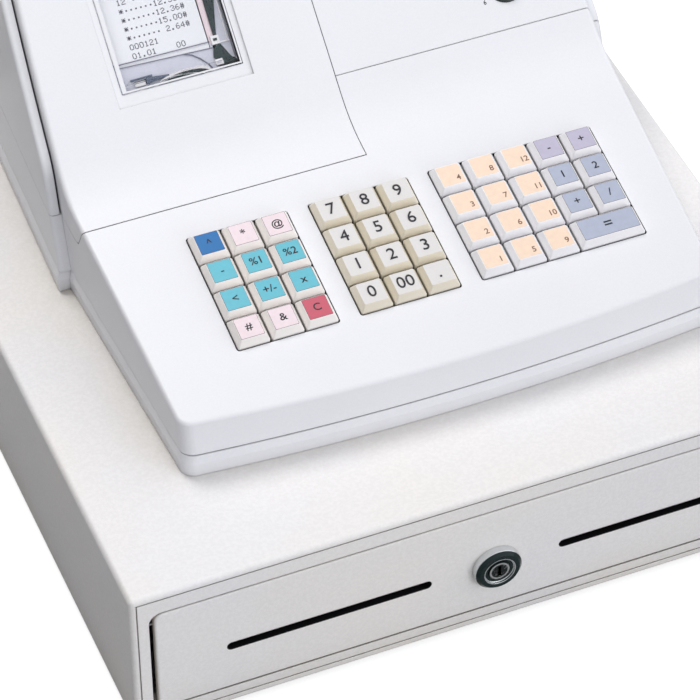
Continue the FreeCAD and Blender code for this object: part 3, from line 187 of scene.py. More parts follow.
def build_grain_group():
    """Fine grain, softened edges and slow unevenness of moulded and painted skins."""
    graph, given, result = new_tree(
        "ShaderNodeTree", "Moulded grain",
        [("Grain size", "Float", 0.5), ("Depth", "Float", 0.3), ("Edge radius", "Float", 0.6)],
        [("Normal", "Vector"), ("Patches", "Float"), ("Edges", "Float"), ("Speckle", "Float")])
    place = graph.place()
    fine = graph.maths("DIVIDE", 1 / MM, given["Grain size"])
    grain = graph.noise(place, fine, 2.0, 0.6)
    speck = graph.noise(place, graph.maths("MULTIPLY", fine, 0.37), 3.0, 0.7)
    patches = graph.noise(place, 9.0, 3.0, 0.55)
    radius = graph.maths("MULTIPLY", given["Edge radius"], MM)
    soft = graph.node("ShaderNodeBevel", {"Radius": radius}, samples=6)
    sharp = graph.node("ShaderNodeNewGeometry")
    edges = graph.ramp(graph.dot(soft, sharp.outputs["Normal"]), 0.995, 0.80)
    height = graph.maths("MULTIPLY", grain, given["Depth"])
    bump = graph.node("ShaderNodeBump", {"Strength": 1.0, "Distance": 0.1 * MM, "Height": height,
                                         "Normal": soft})
    for label, value in (("Normal", bump), ("Patches", patches), ("Edges", edges), ("Speckle", speck)):
        graph.put(result[label], value)


def build_dust_group():
    """Masks of wide hollows and of narrow gaps, from how closed in a point is: they carry painted shade, and dust
    on dark finishes.
    """
    graph, given, result = new_tree(
        "ShaderNodeTree", "Hidden dust", [("Reach", "Float", 12.0), ("Gap", "Float", 2.5)],
        [("Hollows", "Float"), ("Gaps", "Float")])

    def openness(label):
        distance = graph.maths("MULTIPLY", given[label], MM)
        return graph.node("ShaderNodeAmbientOcclusion", {"Distance": distance}, samples=6).outputs["AO"]

    broken = graph.ramp(graph.noise(graph.place(), 140.0, 3.0, 0.6), *NOISE_SPAN, 0.5, 1.0)
    depth = graph.ramp(openness("Reach"), 0.75, 0.25)
    graph.put(result["Hollows"], graph.maths("MULTIPLY", depth, broken))
    graph.put(result["Gaps"], graph.ramp(openness("Gap"), 0.52, 0.2))


def build_ring_group():
    """Distance in millimetres from an axis through a centre."""
    graph, given, result = new_tree(
        "ShaderNodeTree", "Ring distance",
        [("Centre", "Vector", (0, 0, 0)), ("Across", "Vector", (1, 0, 0)), ("Up", "Vector", (0, 0, 1))],
        [("Distance", "Float")])
    away = graph.node("ShaderNodeVectorMath", {0: graph.place(), 1: given["Centre"]},
                      operation="SUBTRACT")
    x, y = graph.dot(away, given["Across"]), graph.dot(away, given["Up"])
    square = graph.maths("ADD", graph.maths("MULTIPLY", x, x), graph.maths("MULTIPLY", y, y))
    graph.put(result["Distance"], graph.maths("MULTIPLY", graph.maths("SQRT", square), 1 / MM))


def build_block_group():
    """Mask of what lies in a block that is turned with a face."""
    graph, given, result = new_tree(
        "ShaderNodeTree", "Inside block",
        [("Across", "Vector", (1, 0, 0)), ("Up", "Vector", (0, 1, 0)), ("Out", "Vector", (0, 0, 1)),
         ("Low", "Vector", (0, 0, 0)), ("High", "Vector", (1, 1, 1)), ("Softness", "Float", 0.3)],
        [("Inside", "Float")])
    place = graph.place()
    low = graph.node("ShaderNodeSeparateXYZ", {0: given["Low"]}).outputs
    high = graph.node("ShaderNodeSeparateXYZ", {0: given["High"]}).outputs
    inside = None
    for i, name in enumerate(("Across", "Up", "Out")):
        along = graph.dot(place, given[name])
        depth = graph.maths("MINIMUM", graph.maths("SUBTRACT", along, low[i]),
                            graph.maths("SUBTRACT", high[i], along))
        inside = depth if inside is None else graph.maths("MINIMUM", inside, depth)
    soft = graph.maths("MULTIPLY", given["Softness"], MM)
    graph.put(result["Inside"], graph.maths("DIVIDE", inside, soft, clamp=True))


def build_groups():
    """Effects that several finishes share."""
    build_grain_group()
    build_dust_group()
    build_ring_group()
    build_block_group()


def finish_material(name, **sockets):
    """New material with its Principled shader set, and its graph."""
    material = bpy.data.materials.new(name)
    material.use_nodes = True
    graph = Graph(material.node_tree)
    shader = material.node_tree.nodes["Principled BSDF"]
    for label, value in sockets.items():
        shader.inputs[label.replace("_", " ")].default_value = value
    return material, graph, shader


def use_group(graph, name, **values):
    """Outputs of a shared group with some of its inputs set."""
    made = graph.node("ShaderNodeGroup")
    made.node_tree = bpy.data.node_groups[name]
    for label, value in values.items():
        graph.put(made.inputs[label.replace("_", " ")], value)
    return made.outputs


def skinned(name, grain, depth, edge, **sockets):
    """New material whose normals have the moulded grain, with its graph, shader and grain."""
    material, graph, shader = finish_material(name, **sockets)
    skin = use_group(graph, "Moulded grain", Grain_size=grain, Depth=depth, Edge_radius=edge)
    graph.put(shader.inputs["Normal"], skin["Normal"])
    return material, graph, shader, skin


# Colour of narrow gaps: painted shade on pale finishes, dirt on dark ones
GAP_DIRT_AND_SHADE = (0.035, 0.030, 0.026)


def moulded(name, colour, rough=0.45, grain=0.5, depth=0.3, edge=0.6, shade=0.03, tint=None, dust=None,
            reach=10.0, amount=0.5, gap=0.95, **sockets):
    """Moulded plastic or painted sheet: fine grain, soft edges with a painted highlight along them, faint uneven
    colour, and a colour in hollows and narrow gaps, which is painted shade on pale finishes and dust on dark ones.
    """
    material, graph, shader, skin = skinned(name, grain, depth, edge, **sockets)
    other = tint or scaled(colour, 1 - shade)
    base = graph.mix(graph.ramp(skin["Patches"], *NOISE_MIDDLE), colour, other)
    base = graph.darker(base, graph.ramp(skin["Speckle"], 0.42, 0.6, 1.0 - shade, 1.0))
    # Painted highlight: the soft edges are made a little lighter
    bright = [min(1.0, c * 1.05 + 0.01) for c in colour]
    base = graph.mix(graph.maths("MULTIPLY", skin["Edges"], 0.35), base, bright)
    # Painted shade in hollows and narrow gaps on pale finishes; on dark finishes the lighter colours read as dust
    if dust:
        hollow = use_group(graph, "Hidden dust", Reach=reach)
        base = graph.mix(graph.maths("MULTIPLY", hollow["Hollows"], amount), base, dust)
        base = graph.mix(graph.maths("MULTIPLY", hollow["Gaps"], gap), base, GAP_DIRT_AND_SHADE)
    graph.put(shader.inputs["Base Color"], base)
    graph.put(shader.inputs["Roughness"],
              graph.ramp(skin["Speckle"], *NOISE_SPAN, rough - 0.06, rough + 0.06))
    return material


def darkened(material, colour, basis, low, high, softness=0.3):
    """Colour what lies in a block differently, such as painted shade inside a well."""
    graph = Graph(material.node_tree)
    shader = material.node_tree.nodes["Principled BSDF"]
    before = shader.inputs["Base Color"].links[0].from_socket
    inside = use_group(graph, "Inside block", Across=basis[0], Up=basis[1], Out=basis[2], Low=low, High=high,
                       Softness=softness)
    graph.put(shader.inputs["Base Color"], graph.mix(inside["Inside"], before, colour))


# Mesh helpers

def mesh_object(name, mesh, node, *materials, slot_of=None):
    """New piece on the body of a node. The finish slot of that node, or of another node, is looked up but given to
    nothing.
    """
    made = linked(name, mesh)
    for material in materials:
        mesh.materials.append(material)
    body, slot_name = BODIES[node], NODE_SLOTS[slot_of or node]
    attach(made, body)
    return made


def dress(material, *nodes):
    """Give carried-over solids their finish."""
    for held in (NODES[node] for node in nodes):
        if not held.material_slots:
            held.data.materials.append(None)
        for slot in held.material_slots:
            slot.material = material


def number_faces(target, first, index, smooth=None):
    """Material number, and where it is given the shading, of the faces made since first."""
    target.faces.ensure_lookup_table()
    for face in target.faces[first:]:
        face.material_index = index
        if smooth is not None:
            face.smooth = smooth


def join_into(target, source, matrix, index=0):
    """Copy a mesh into a bmesh, moved and with one material number."""
    start, first = len(target.verts), len(target.faces)
    target.from_mesh(source)
    target.verts.ensure_lookup_table()
    bmesh.ops.transform(target, matrix=matrix, verts=target.verts[start:])
    number_faces(target, first, index)


def done(target, name, smooth=False):
    """Turn a bmesh into a mesh."""
    mesh = bpy.data.meshes.new(name)
    target.to_mesh(mesh)
    target.free()
    if smooth:
        mesh.shade_smooth()
    return mesh


def evaluated(holder):
    """Final mesh of an object, which is then removed."""
    bpy.context.view_layer.update()
    mesh = bpy.data.meshes.new_from_object(holder.evaluated_get(bpy.context.evaluated_depsgraph_get()))
    bpy.data.objects.remove(holder)
    return mesh


def text_mesh(words, size, thick=PRINT_THICK, weight=PRINT_BOLD):
    """Flat characters of a given height as a thin mesh round the origin; weight thickens their strokes."""
    curve = bpy.data.curves.new("characters", "FONT")
    curve.body = words
    curve.size = size
    curve.extrude = thick
    curve.offset = size * weight
    curve.align_x = curve.align_y = "CENTER"
    curve.resolution_u = 4
    mesh = evaluated(linked("characters", curve))
    bpy.data.curves.remove(curve)
    return mesh


def bridge_into(target, rings, closed=False):
    """Quads between rings of equally many corners, each counterclockwise seen from the next one's side."""
    made = [[target.verts.new(corner) for corner in ring] for ring in rings]
    for one, other in zip(made, made[1:] + (made[:1] if closed else [])):
        for i in range(len(one)):
            j = (i + 1) % len(one)
            target.faces.new([one[i], one[j], other[j], other[i]])
    return made


def prism_into(target, outline, low, high, matrix=Matrix(), index=0):
    """Upright prism over a flat outline given counterclockwise."""
    first = len(target.faces)
    bottom, top = bridge_into(target, [[matrix @ Vector((x, y, level)) for x, y in outline]
                                       for level in (low, high)])
    target.faces.new(list(reversed(bottom)))
    target.faces.new(top)
    number_faces(target, first, index)


def box_into(target, low, high, matrix=Matrix(), index=0):
    """Block between two corners."""
    outline = [(low[0], low[1]), (high[0], low[1]), (high[0], high[1]), (low[0], high[1])]
    prism_into(target, outline, low[2], high[2], matrix, index)


def soft_rectangle(half_x, half_y, corner, steps=5):
    """Counterclockwise outline round the origin with rounded corners."""
    points = []
    for quarter, (sx, sy) in enumerate(((1, 1), (-1, 1), (-1, -1), (1, -1))):
        for i in range(steps + 1):
            angle = math.pi / 2 * (quarter + i / steps)
            points.append((sx * (half_x - corner) + corner * math.cos(angle),
                           sy * (half_y - corner) + corner * math.sin(angle)))
    return points


def turned_into(target, profile, steps, matrix=Matrix(), index=0, closed=False):
    """Surface of revolution about local Z through (radius, height) points, outer side first."""
    first = len(target.faces)
    angles = [2 * math.pi * i / steps for i in range(steps)]
    bridge_into(target, [[matrix @ Vector((radius * math.cos(a), radius * math.sin(a), height)) for a in angles]
                         for radius, height in profile], closed)
    number_faces(target, first, index, True)


# Geometry Nodes trees

def tree_with(name, inputs, output):
    """Tree that makes a shape of a given finish."""
    return new_tree("GeometryNodeTree", name, [*inputs, ("Finish", "Material")], [(output, "Geometry")])


def finish_tree(graph, given, result, geometry):
    """Every tree ends with real geometry that has its finish."""
    real = graph.node("GeometryNodeRealizeInstances", {"Geometry": geometry})
    coloured = graph.node("GeometryNodeSetMaterial",
                          {"Geometry": real, "Material": given["Finish"]})
    graph.put(result[0], coloured)


def build_trees():
    """Shapes that repeat: plates, printed dots, turns of paper and screw heads."""
    graph, given, result = tree_with(
        "Rounded plate", [("Width", "Float", 12 * MM), ("Length", "Float", 12 * MM), ("Corner", "Float", 1 * MM),
                          ("Thickness", "Float", 0.2 * MM)], "Plate")
    outline = graph.node("GeometryNodeCurvePrimitiveQuadrilateral",
                         {"Width": given["Width"], "Height": given["Length"]})
    rounded = graph.node("GeometryNodeFilletCurve", {"Curve": outline, "Radius": given["Corner"],
                                                     "Count": 4}, mode="POLY")
    filled = graph.node("GeometryNodeFillCurve", {"Curve": rounded}, mode="NGONS")
    thick = graph.node("GeometryNodeExtrudeMesh",
                       {"Mesh": filled, "Offset Scale": given["Thickness"]}, mode="FACES")
    thick.inputs["Individual"].default_value = False
    flipped = graph.node("GeometryNodeFlipFaces", {"Mesh": filled})
    whole = graph.join(thick, flipped)
    merged = graph.node("GeometryNodeMergeByDistance", {"Geometry": whole, "Distance": 0.001 * MM})
    finish_tree(graph, given, result, merged)

    graph, given, result = tree_with("Printed dots", [("Points", "Geometry"), ("Radius", "Float", 0.18 * MM)],
                                     "Dots")
    dot = graph.node("GeometryNodeMeshCircle", {"Vertices": 8, "Radius": given["Radius"]}, fill_type="NGON")
    many = graph.node("GeometryNodeInstanceOnPoints",
                      {"Points": given["Points"], "Instance": dot})
    finish_tree(graph, given, result, many)

    graph, given, result = tree_with("Paper turns", [("Inner", "Float", 6 * MM), ("Outer", "Float", 29 * MM),
                                                     ("Ridge", "Float", 0.12 * MM), ("Rotations", "Float", 12.0)],
                                     "Turns")
    coil = graph.node("GeometryNodeCurveSpiral", {"Resolution": 36, "Rotations": given["Rotations"],
                                                  "Start Radius": given["Inner"],
                                                  "End Radius": given["Outer"], "Height": 0.0})
    ridge = graph.node("GeometryNodeCurvePrimitiveCircle", {"Resolution": 4, "Radius": given["Ridge"]})
    raised = graph.node("GeometryNodeCurveToMesh", {"Curve": coil, "Profile Curve": ridge,
                                                    "Fill Caps": True})
    finish_tree(graph, given, result, raised)

    graph, given, result = tree_with("Cross-head screws", [("Points", "Geometry"), ("Head", "Float", 3 * MM),
                                                           ("Height", "Float", 1 * MM)], "Screws")
    rim = graph.maths("MULTIPLY", given["Head"], 0.82)
    flank = graph.node("GeometryNodeMeshCone", {"Vertices": 32, "Radius Top": rim,
                                                "Radius Bottom": given["Head"],
                                                "Depth": given["Height"]}, fill_type="NONE")
    circle = graph.node("GeometryNodeCurvePrimitiveCircle", {"Resolution": 32, "Radius": rim})
    star = graph.node("GeometryNodeCurveStar", {"Points": 4,
                                                "Inner Radius": graph.maths("MULTIPLY", given["Head"], 0.17),
                                                "Outer Radius": graph.maths("MULTIPLY", given["Head"], 0.6)})
    face = graph.node("GeometryNodeFillCurve", {"Curve": graph.join(circle, star)})
    socket = graph.node("GeometryNodeExtrudeMesh",
                        {"Mesh": graph.node("GeometryNodeFillCurve", {"Curve": star}),
                         "Offset Scale": graph.maths("MULTIPLY", given["Height"], -0.8)}, mode="FACES")
    socket.inputs["Individual"].default_value = False
    top = graph.join(face, socket)
    lift = graph.node("ShaderNodeCombineXYZ", {"Z": given["Height"]})
    raised = graph.node("GeometryNodeTransform", {"Geometry": top, "Translation": lift})
    whole = graph.join(flank, raised)
    merged = graph.node("GeometryNodeMergeByDistance", {"Geometry": whole, "Distance": 0.002 * MM})
    many = graph.node("GeometryNodeInstanceOnPoints", {"Points": given["Points"],
                                                       "Instance": merged})
    finish_tree(graph, given, result, many)


def run_tree(name, values, points=()):
    """Evaluate a tree on loose points, or on nothing, and return the plain result."""
    tree = bpy.data.node_groups[name]
    start = bpy.data.meshes.new("holder")
    start.from_pydata(list(points), [], [])
    holder = linked("holder", start)
    modifier = holder.modifiers.new("tree", "NODES")
    modifier.node_group = tree
    sockets = {item.name: item.identifier for item in tree.interface.items_tree
               if item.in_out == "INPUT" and item.socket_type != "NodeSocketGeometry"}
    for label, value in values.items():
        modifier[sockets[label]] = value
    return evaluated(holder)


# What a user may change

def size_setting(name, description, millimetres):
    return FloatProperty(name=name, description=description, default=millimetres * MM, unit="LENGTH")


def colour_setting(name, description, default):
    return FloatVectorProperty(name=name, description=description, default=default, subtype="COLOR", min=0, max=1)


class RegisterCaseSettings(bpy.types.PropertyGroup):
    """Mouldings of the register."""
    colour: colour_setting("Case colour", "Moulded case", (0.765, 0.77, 0.80))
    grain: FloatProperty(name="Grain", description="Width of the moulded grain in millimetres", default=0.45)
    edge: FloatProperty(name="Edge", description="Softness of moulded edges in millimetres", default=0.8)
    rim: size_setting("Window rim", "Frame round the window", 0.9)
    rim_left: size_setting("Left rim", "The same at the window's left", 2.5)
    rim_high: size_setting("Rim height", "The same, above the window", 0.5)
    rim_gap: size_setting("Rim gap", "Between rim and recess", 0.25)
    # The wells' near-black is painted shade, and also stands for the dark membrane under the keys
    well: colour_setting("Key wells", "Inside of the wells under the keys", (0.012, 0.012, 0.014))
    well_margin: size_setting("Well margin", "Darkened space round the keys", 1.5)
    well_depth: size_setting("Well depth", "Start of the darkened space below the deck", 0.5)


class RegisterDrawerSettings(bpy.types.PropertyGroup):
    """Painted steel of the drawer."""
    colour: colour_setting("Paint", "Powder coat of the drawer", (0.82, 0.795, 0.77))
    grain: FloatProperty(name="Grain", description="Width of the paint's texture in millimetres", default=0.8)
    sleeve: size_setting("Slot sleeve", "Wall of the sleeve in a slot", 0.3)
    sleeve_gap: size_setting("Sleeve gap", "Between the sleeve and the slot's edge", 0.03)


class RegisterKeySettings(bpy.types.PropertyGroup):
    """Keys, their labels and legends."""
    corner: size_setting("Cap corner", "Upright corners of a cap", 1.0)
    soft: size_setting("Cap edge", "Rounding between the sides and the top of a cap", 0.25)
    clearance: size_setting("Cap clearance", "Cap drawn in from the solid's side", 0.15)
    dish: size_setting("Dish", "Hollow in the top of a number key", 0.3)
    digit_height: size_setting("Digit height", "Digits on the number keys", 10.4)
    small_digit: size_setting("Small digit", "Digits on the department keys", 5.0)
    sign_height: size_setting("Sign height", "Signs on the other keys", 6.6)
    wide_sign: size_setting("Wide sign", "Sign on the double key", 9.0)
    label_inset: size_setting("Label inset", "Cap around a label", 0.25)
    border_inset: size_setting("Border inset", "Cap around a label's border", 0.05)
    label_corner: size_setting("Label corner", "Corners of a label", 0.5)
    label_thick: size_setting("Label thickness", "Label above the cap", 0.12)
    peach: colour_setting("Peach", "Department labels", (0.90, 0.70, 0.55))
    cyan: colour_setting("Cyan", "Function labels", (0.125, 0.49, 0.60))
    blue: colour_setting("Blue", "Feed key label", (0.004, 0.15, 0.42))
    rose: colour_setting("Rose", "Clear key label", (0.57, 0.10, 0.15))
    blush: colour_setting("Blush", "Pale function labels", (0.82, 0.69, 0.73))
    lavender: colour_setting("Lavender", "Upper right labels", (0.50, 0.47, 0.60))
    slate: colour_setting("Slate", "Total labels", (0.42, 0.46, 0.58))


class RegisterPaperSettings(bpy.types.PropertyGroup):
    """Printed paper under the window."""
    first_column: size_setting("First column", "From the paper's left edge", 14.1)
    first_line: size_setting("First line", "Top of the lowest line above the window's lower edge", 21.3)
    line_pitch: size_setting("Line pitch", "Between printed lines", 5.12)
    character_pitch: size_setting("Character pitch", "Between printed characters", 2.85)
    dot_pitch: size_setting("Dot pitch", "Between printed dots", 0.46)
    dot: size_setting("Dot", "Printed dot", 0.56)


class RegisterDisplaySettings(bpy.types.PropertyGroup):
    """Displays at the front and the back."""
    shown: StringProperty(name="Shown", description="Digits on the eight places", default="     000")
    colour: colour_setting("Digits", "Lit digits", (0.10, 0.85, 0.55))
    glow: FloatProperty(name="Glow", description="Strength of the lit digits", default=0.6)
    lens_thick: size_setting("Lens", "Thickness of the lens", 1.6)
    lens_corner: size_setting("Lens corner", "Corners of the lens", 1.2)
    lens_gap: size_setting("Lens gap", "Between the lens and its recess, both sides together", 0.6)


class RegisterStudioSettings(bpy.types.PropertyGroup):
    """Floor, lights and camera."""
    lens: FloatProperty(name="Lens", description="Focal length on a 36 mm sensor", default=204.1)
    key_power: FloatProperty(name="Key light", description="Watts of the large light overhead", default=29.0)
    fill_power: FloatProperty(name="Fill light", description="Watts of the low light before the drawer",
                              default=10.0)
    sky: FloatProperty(name="Surroundings", description="Strength of the white surroundings", default=0.64)


# Case, drawer, lock

class REGISTER_OT_case(bpy.types.Operator):
    """Finish the register's mouldings and printer cover"""
    bl_idname = "register.case"
    bl_label = "Case"

    def execute(self, context):
        wanted = context.scene.register_case
        # Painted shade: the case darkens in hollows and in narrow gaps
        finish = {"rough": 0.42, "grain": wanted.grain, "depth": 0.35, "edge": wanted.edge, "shade": 0.02,
                  "dust": (0.46, 0.44, 0.42), "amount": 0.4, "gap": 0.6}
        case = moulded("Moulded plastic", wanted.colour, **finish)
        dress(case, "bottom_tray", "upper_case", "printer_cover")
        wells = moulded("Moulded plastic round the keys", wanted.colour, **finish)
        lows, highs = zip(*(span(node, DECK) for node in NODES if node.startswith("key_")))
        low = [min(corner[i] for corner in lows) - wanted.well_margin for i in range(3)]
        high = [max(corner[i] for corner in highs) + wanted.well_margin for i in range(3)]
        deck = max(v.co.dot(DECK[2]) for v in NODES["keyboard_case"].data.vertices
                   if low[0] < v.co.x < high[0] and low[1] < v.co.dot(DECK[1]) < high[1])
        # Painted shade: the wells below the deck turn near black, which also stands for the dark membrane under the
        # keys
        high[2] = deck - wanted.well_depth
        darkened(wells, wanted.well, DECK, low, high)
        dress(wells, "keyboard_case")
        return {"FINISHED"}


# How far past a slot's ends, and above or below its middle, the points of its rim are looked for
PAST_SLOT, BESIDE_SLOT = 8 * MM, 4 * MM


class REGISTER_OT_drawer(bpy.types.Operator):
    """Finish the cabinet, panel, sliding tray, till and feet"""
    bl_idname = "register.drawer"
    bl_label = "Drawer"

    def execute(self, context):
        wanted = context.scene.register_drawer
        # Painted shade: the paint turns warm grey in hollows up to 45 mm wide, such as beside the register, and in
        # gaps
        paint = moulded("Drawer paint", wanted.colour, rough=0.5, grain=wanted.grain, depth=0.9, edge=1.0,
                        shade=0.05, tint=(0.80, 0.79, 0.80), dust=(0.52, 0.46, 0.36), reach=45.0, amount=0.7)
        steel = moulded("Zinc plated sheet", (0.52, 0.53, 0.55), rough=0.34, grain=2.5, depth=0.1, edge=0.3,
                        shade=0.12, Metallic=0.9)
        till = moulded("Till plastic", (0.018, 0.018, 0.020), rough=0.5, grain=0.7, depth=0.8, edge=0.8, shade=0.2,
                       dust=(0.09, 0.085, 0.08))
        rubber = moulded("Foot rubber", (0.02, 0.02, 0.021), rough=0.8, grain=0.6, depth=0.6, edge=0.6, shade=0.2)
        dress(paint, "drawer_cabinet", "drawer_front")
        dress(steel, "drawer_tray")
        dress(till, "till_insert")
        dress(rubber, "rubber_feet")
        # The slots' sleeves are near black: a liner, and painted shade of the drawer's inside
        self.slot_sleeves(wanted, moulded("Sleeve plastic and slot shade", (0.008, 0.008, 0.009), rough=0.4, grain=0.6, depth=0.3,
                                          edge=0.2, shade=0.2))
        return {"FINISHED"}

    def slot_sleeves(self, wanted, black):
        """Black sleeve in each of the two slots for slips; its near-black stands for a dark liner and for the shade
        inside the drawer behind the slot.
        """
        panel = [v.co for v in NODES["drawer_front"].data.vertices]
        slots = [opening["box_m"] for opening in frame["record"]["physics"]["openings"]
                 if opening["name"].startswith("slip_slot")]
        thin, gap = wanted.sleeve, wanted.sleeve_gap
        target = bmesh.new()
        for low, high in slots:
            middle = (Vector(low) + Vector(high)) / 2
            half = (high[0] - low[0]) / 2 + PAST_SLOT
            rim = [p for p in panel if abs(p.x - middle.x) < half and abs(p.z - middle.z) < BESIDE_SLOT]
            face = min(p.y for p in rim)
            sizes = [(max(p[i] for p in rim) - min(p[i] for p in rim)) / 2 - gap for i in (0, 2)]
            lay = placed(Vector((middle.x, face, middle.z)),
                         (Vector((1, 0, 0)), Vector((0, 0, 1)), Vector((0, -1, 0))))
            front, back = -gap, face - max(p.y for p in rim)
            section = [(0, front), (0, back), (thin, back), (thin, front - thin / 2), (thin / 2, front)]
            bridge_into(target, [[lay @ Vector((x, y, height)) for x, y in
                                  soft_rectangle(sizes[0] - off, sizes[1] - off, (sizes[1] - off) * 0.999, 8)]
                                 for off, height in section], True)
        bmesh.ops.recalc_face_normals(target, faces=target.faces)
        mesh_object("slot_sleeves", done(target, "slot_sleeves"), "drawer_front", black, slot_of="lock_plug")


# Bands on the lock's face, as radii in millimetres
FACE_RING = (8.25, 9.0)
FACE_DARK = 13.2
PLUG_RING = (4.8, 5.6)


class REGISTER_OT_lock(bpy.types.Operator):
    """Finish the drawer lock"""
    bl_idname = "register.lock"
    bl_label = "Lock"

    def execute(self, context):
        centre = Vector(JOINTS["lock_turn"]["pos_m"])
        chrome, graph, shader, _ = skinned("Lock face", 0.8, 0.15, 0.4, Roughness=0.16, Specular_IOR_Level=0.25)
        ring = use_group(graph, "Ring distance", Centre=centre)
        rim = graph.band(ring["Distance"], *FACE_RING, 0.15)
        dark = graph.maths("SUBTRACT", graph.ramp(ring["Distance"], FACE_DARK + 0.15, FACE_DARK), rim)
        graph.put(shader.inputs["Base Color"],
                  graph.mix(dark, (0.72, 0.74, 0.75), (0.006, 0.016, 0.016)))
        graph.put(shader.inputs["Metallic"], graph.maths("SUBTRACT", 1.0, dark))
        dress(chrome, "lock_barrel")
        plug, graph, shader, skin = skinned("Lock plug", 0.5, 0.4, 0.4, Metallic=1.0)
        ring = use_group(graph, "Ring distance", Centre=centre)
        edge = graph.band(ring["Distance"], *PLUG_RING, 0.2)
        worn = graph.maths("MAXIMUM", edge, graph.ramp(skin["Speckle"], 0.55, 0.75))
        graph.put(shader.inputs["Base Color"],
                  graph.mix(worn, (0.030, 0.036, 0.036), (0.62, 0.64, 0.64)))
        graph.put(shader.inputs["Roughness"], graph.ramp(skin["Patches"], *NOISE_SPAN, 0.18, 0.38))
        dress(plug, "lock_plug")
        return {"FINISHED"}


# Keys

NUMBERS = {"11": "7", "12": "8", "13": "9", "21": "4", "22": "5", "23": "6", "31": "1", "32": "2", "33": "3",
           "41": "0", "42": "00", "43": "."}
DEPARTMENTS = {"11": "4", "12": "8", "13": "12", "21": "3", "22": "7", "23": "11", "31": "2", "32": "6", "33": "10",
               "41": "1", "42": "5", "43": "9"}
FUNCTIONS = {"11": "^", "12": "*", "13": "@", "21": "-", "22": "%1", "23": "%2", "31": "<", "32": "+/-", "33": "x",
             "41": "#", "42": "&", "43": "C"}
TOTALS = {"14": "-", "15": "+", "24": "1", "25": "2", "34": "+", "35": "/", "44": "="}
FUNCTION_LABELS = {"11": "blue", "12": "blush", "13": "blush", "41": "blush", "42": "blush", "43": "rose"}
DOUBLE_KEY = "44"

# How far a face looks along the keys' way out where a cap's top starts and is whole, and so for its skirt, which
# takes painted shade
TOP_FACING = (0.80, 0.96)
SKIRT_FACING = (0.22, 0.08)
# Upper edge of a cap: drawn in and down by shares of the softness, with a share of the corner's radius
CAP_EDGE = ((0.0, 1.0, 0.85), (0.24, 0.6, 0.8), (0.62, 0.22, 0.7), (1.1, 0.03, 0.6), (1.25, 0.0, 0.55))
# Dished top: share of the flat and share of the dish's depth
CAP_DISH = ((0.92, 0.12), (0.7, 0.5), (0.4, 0.86))


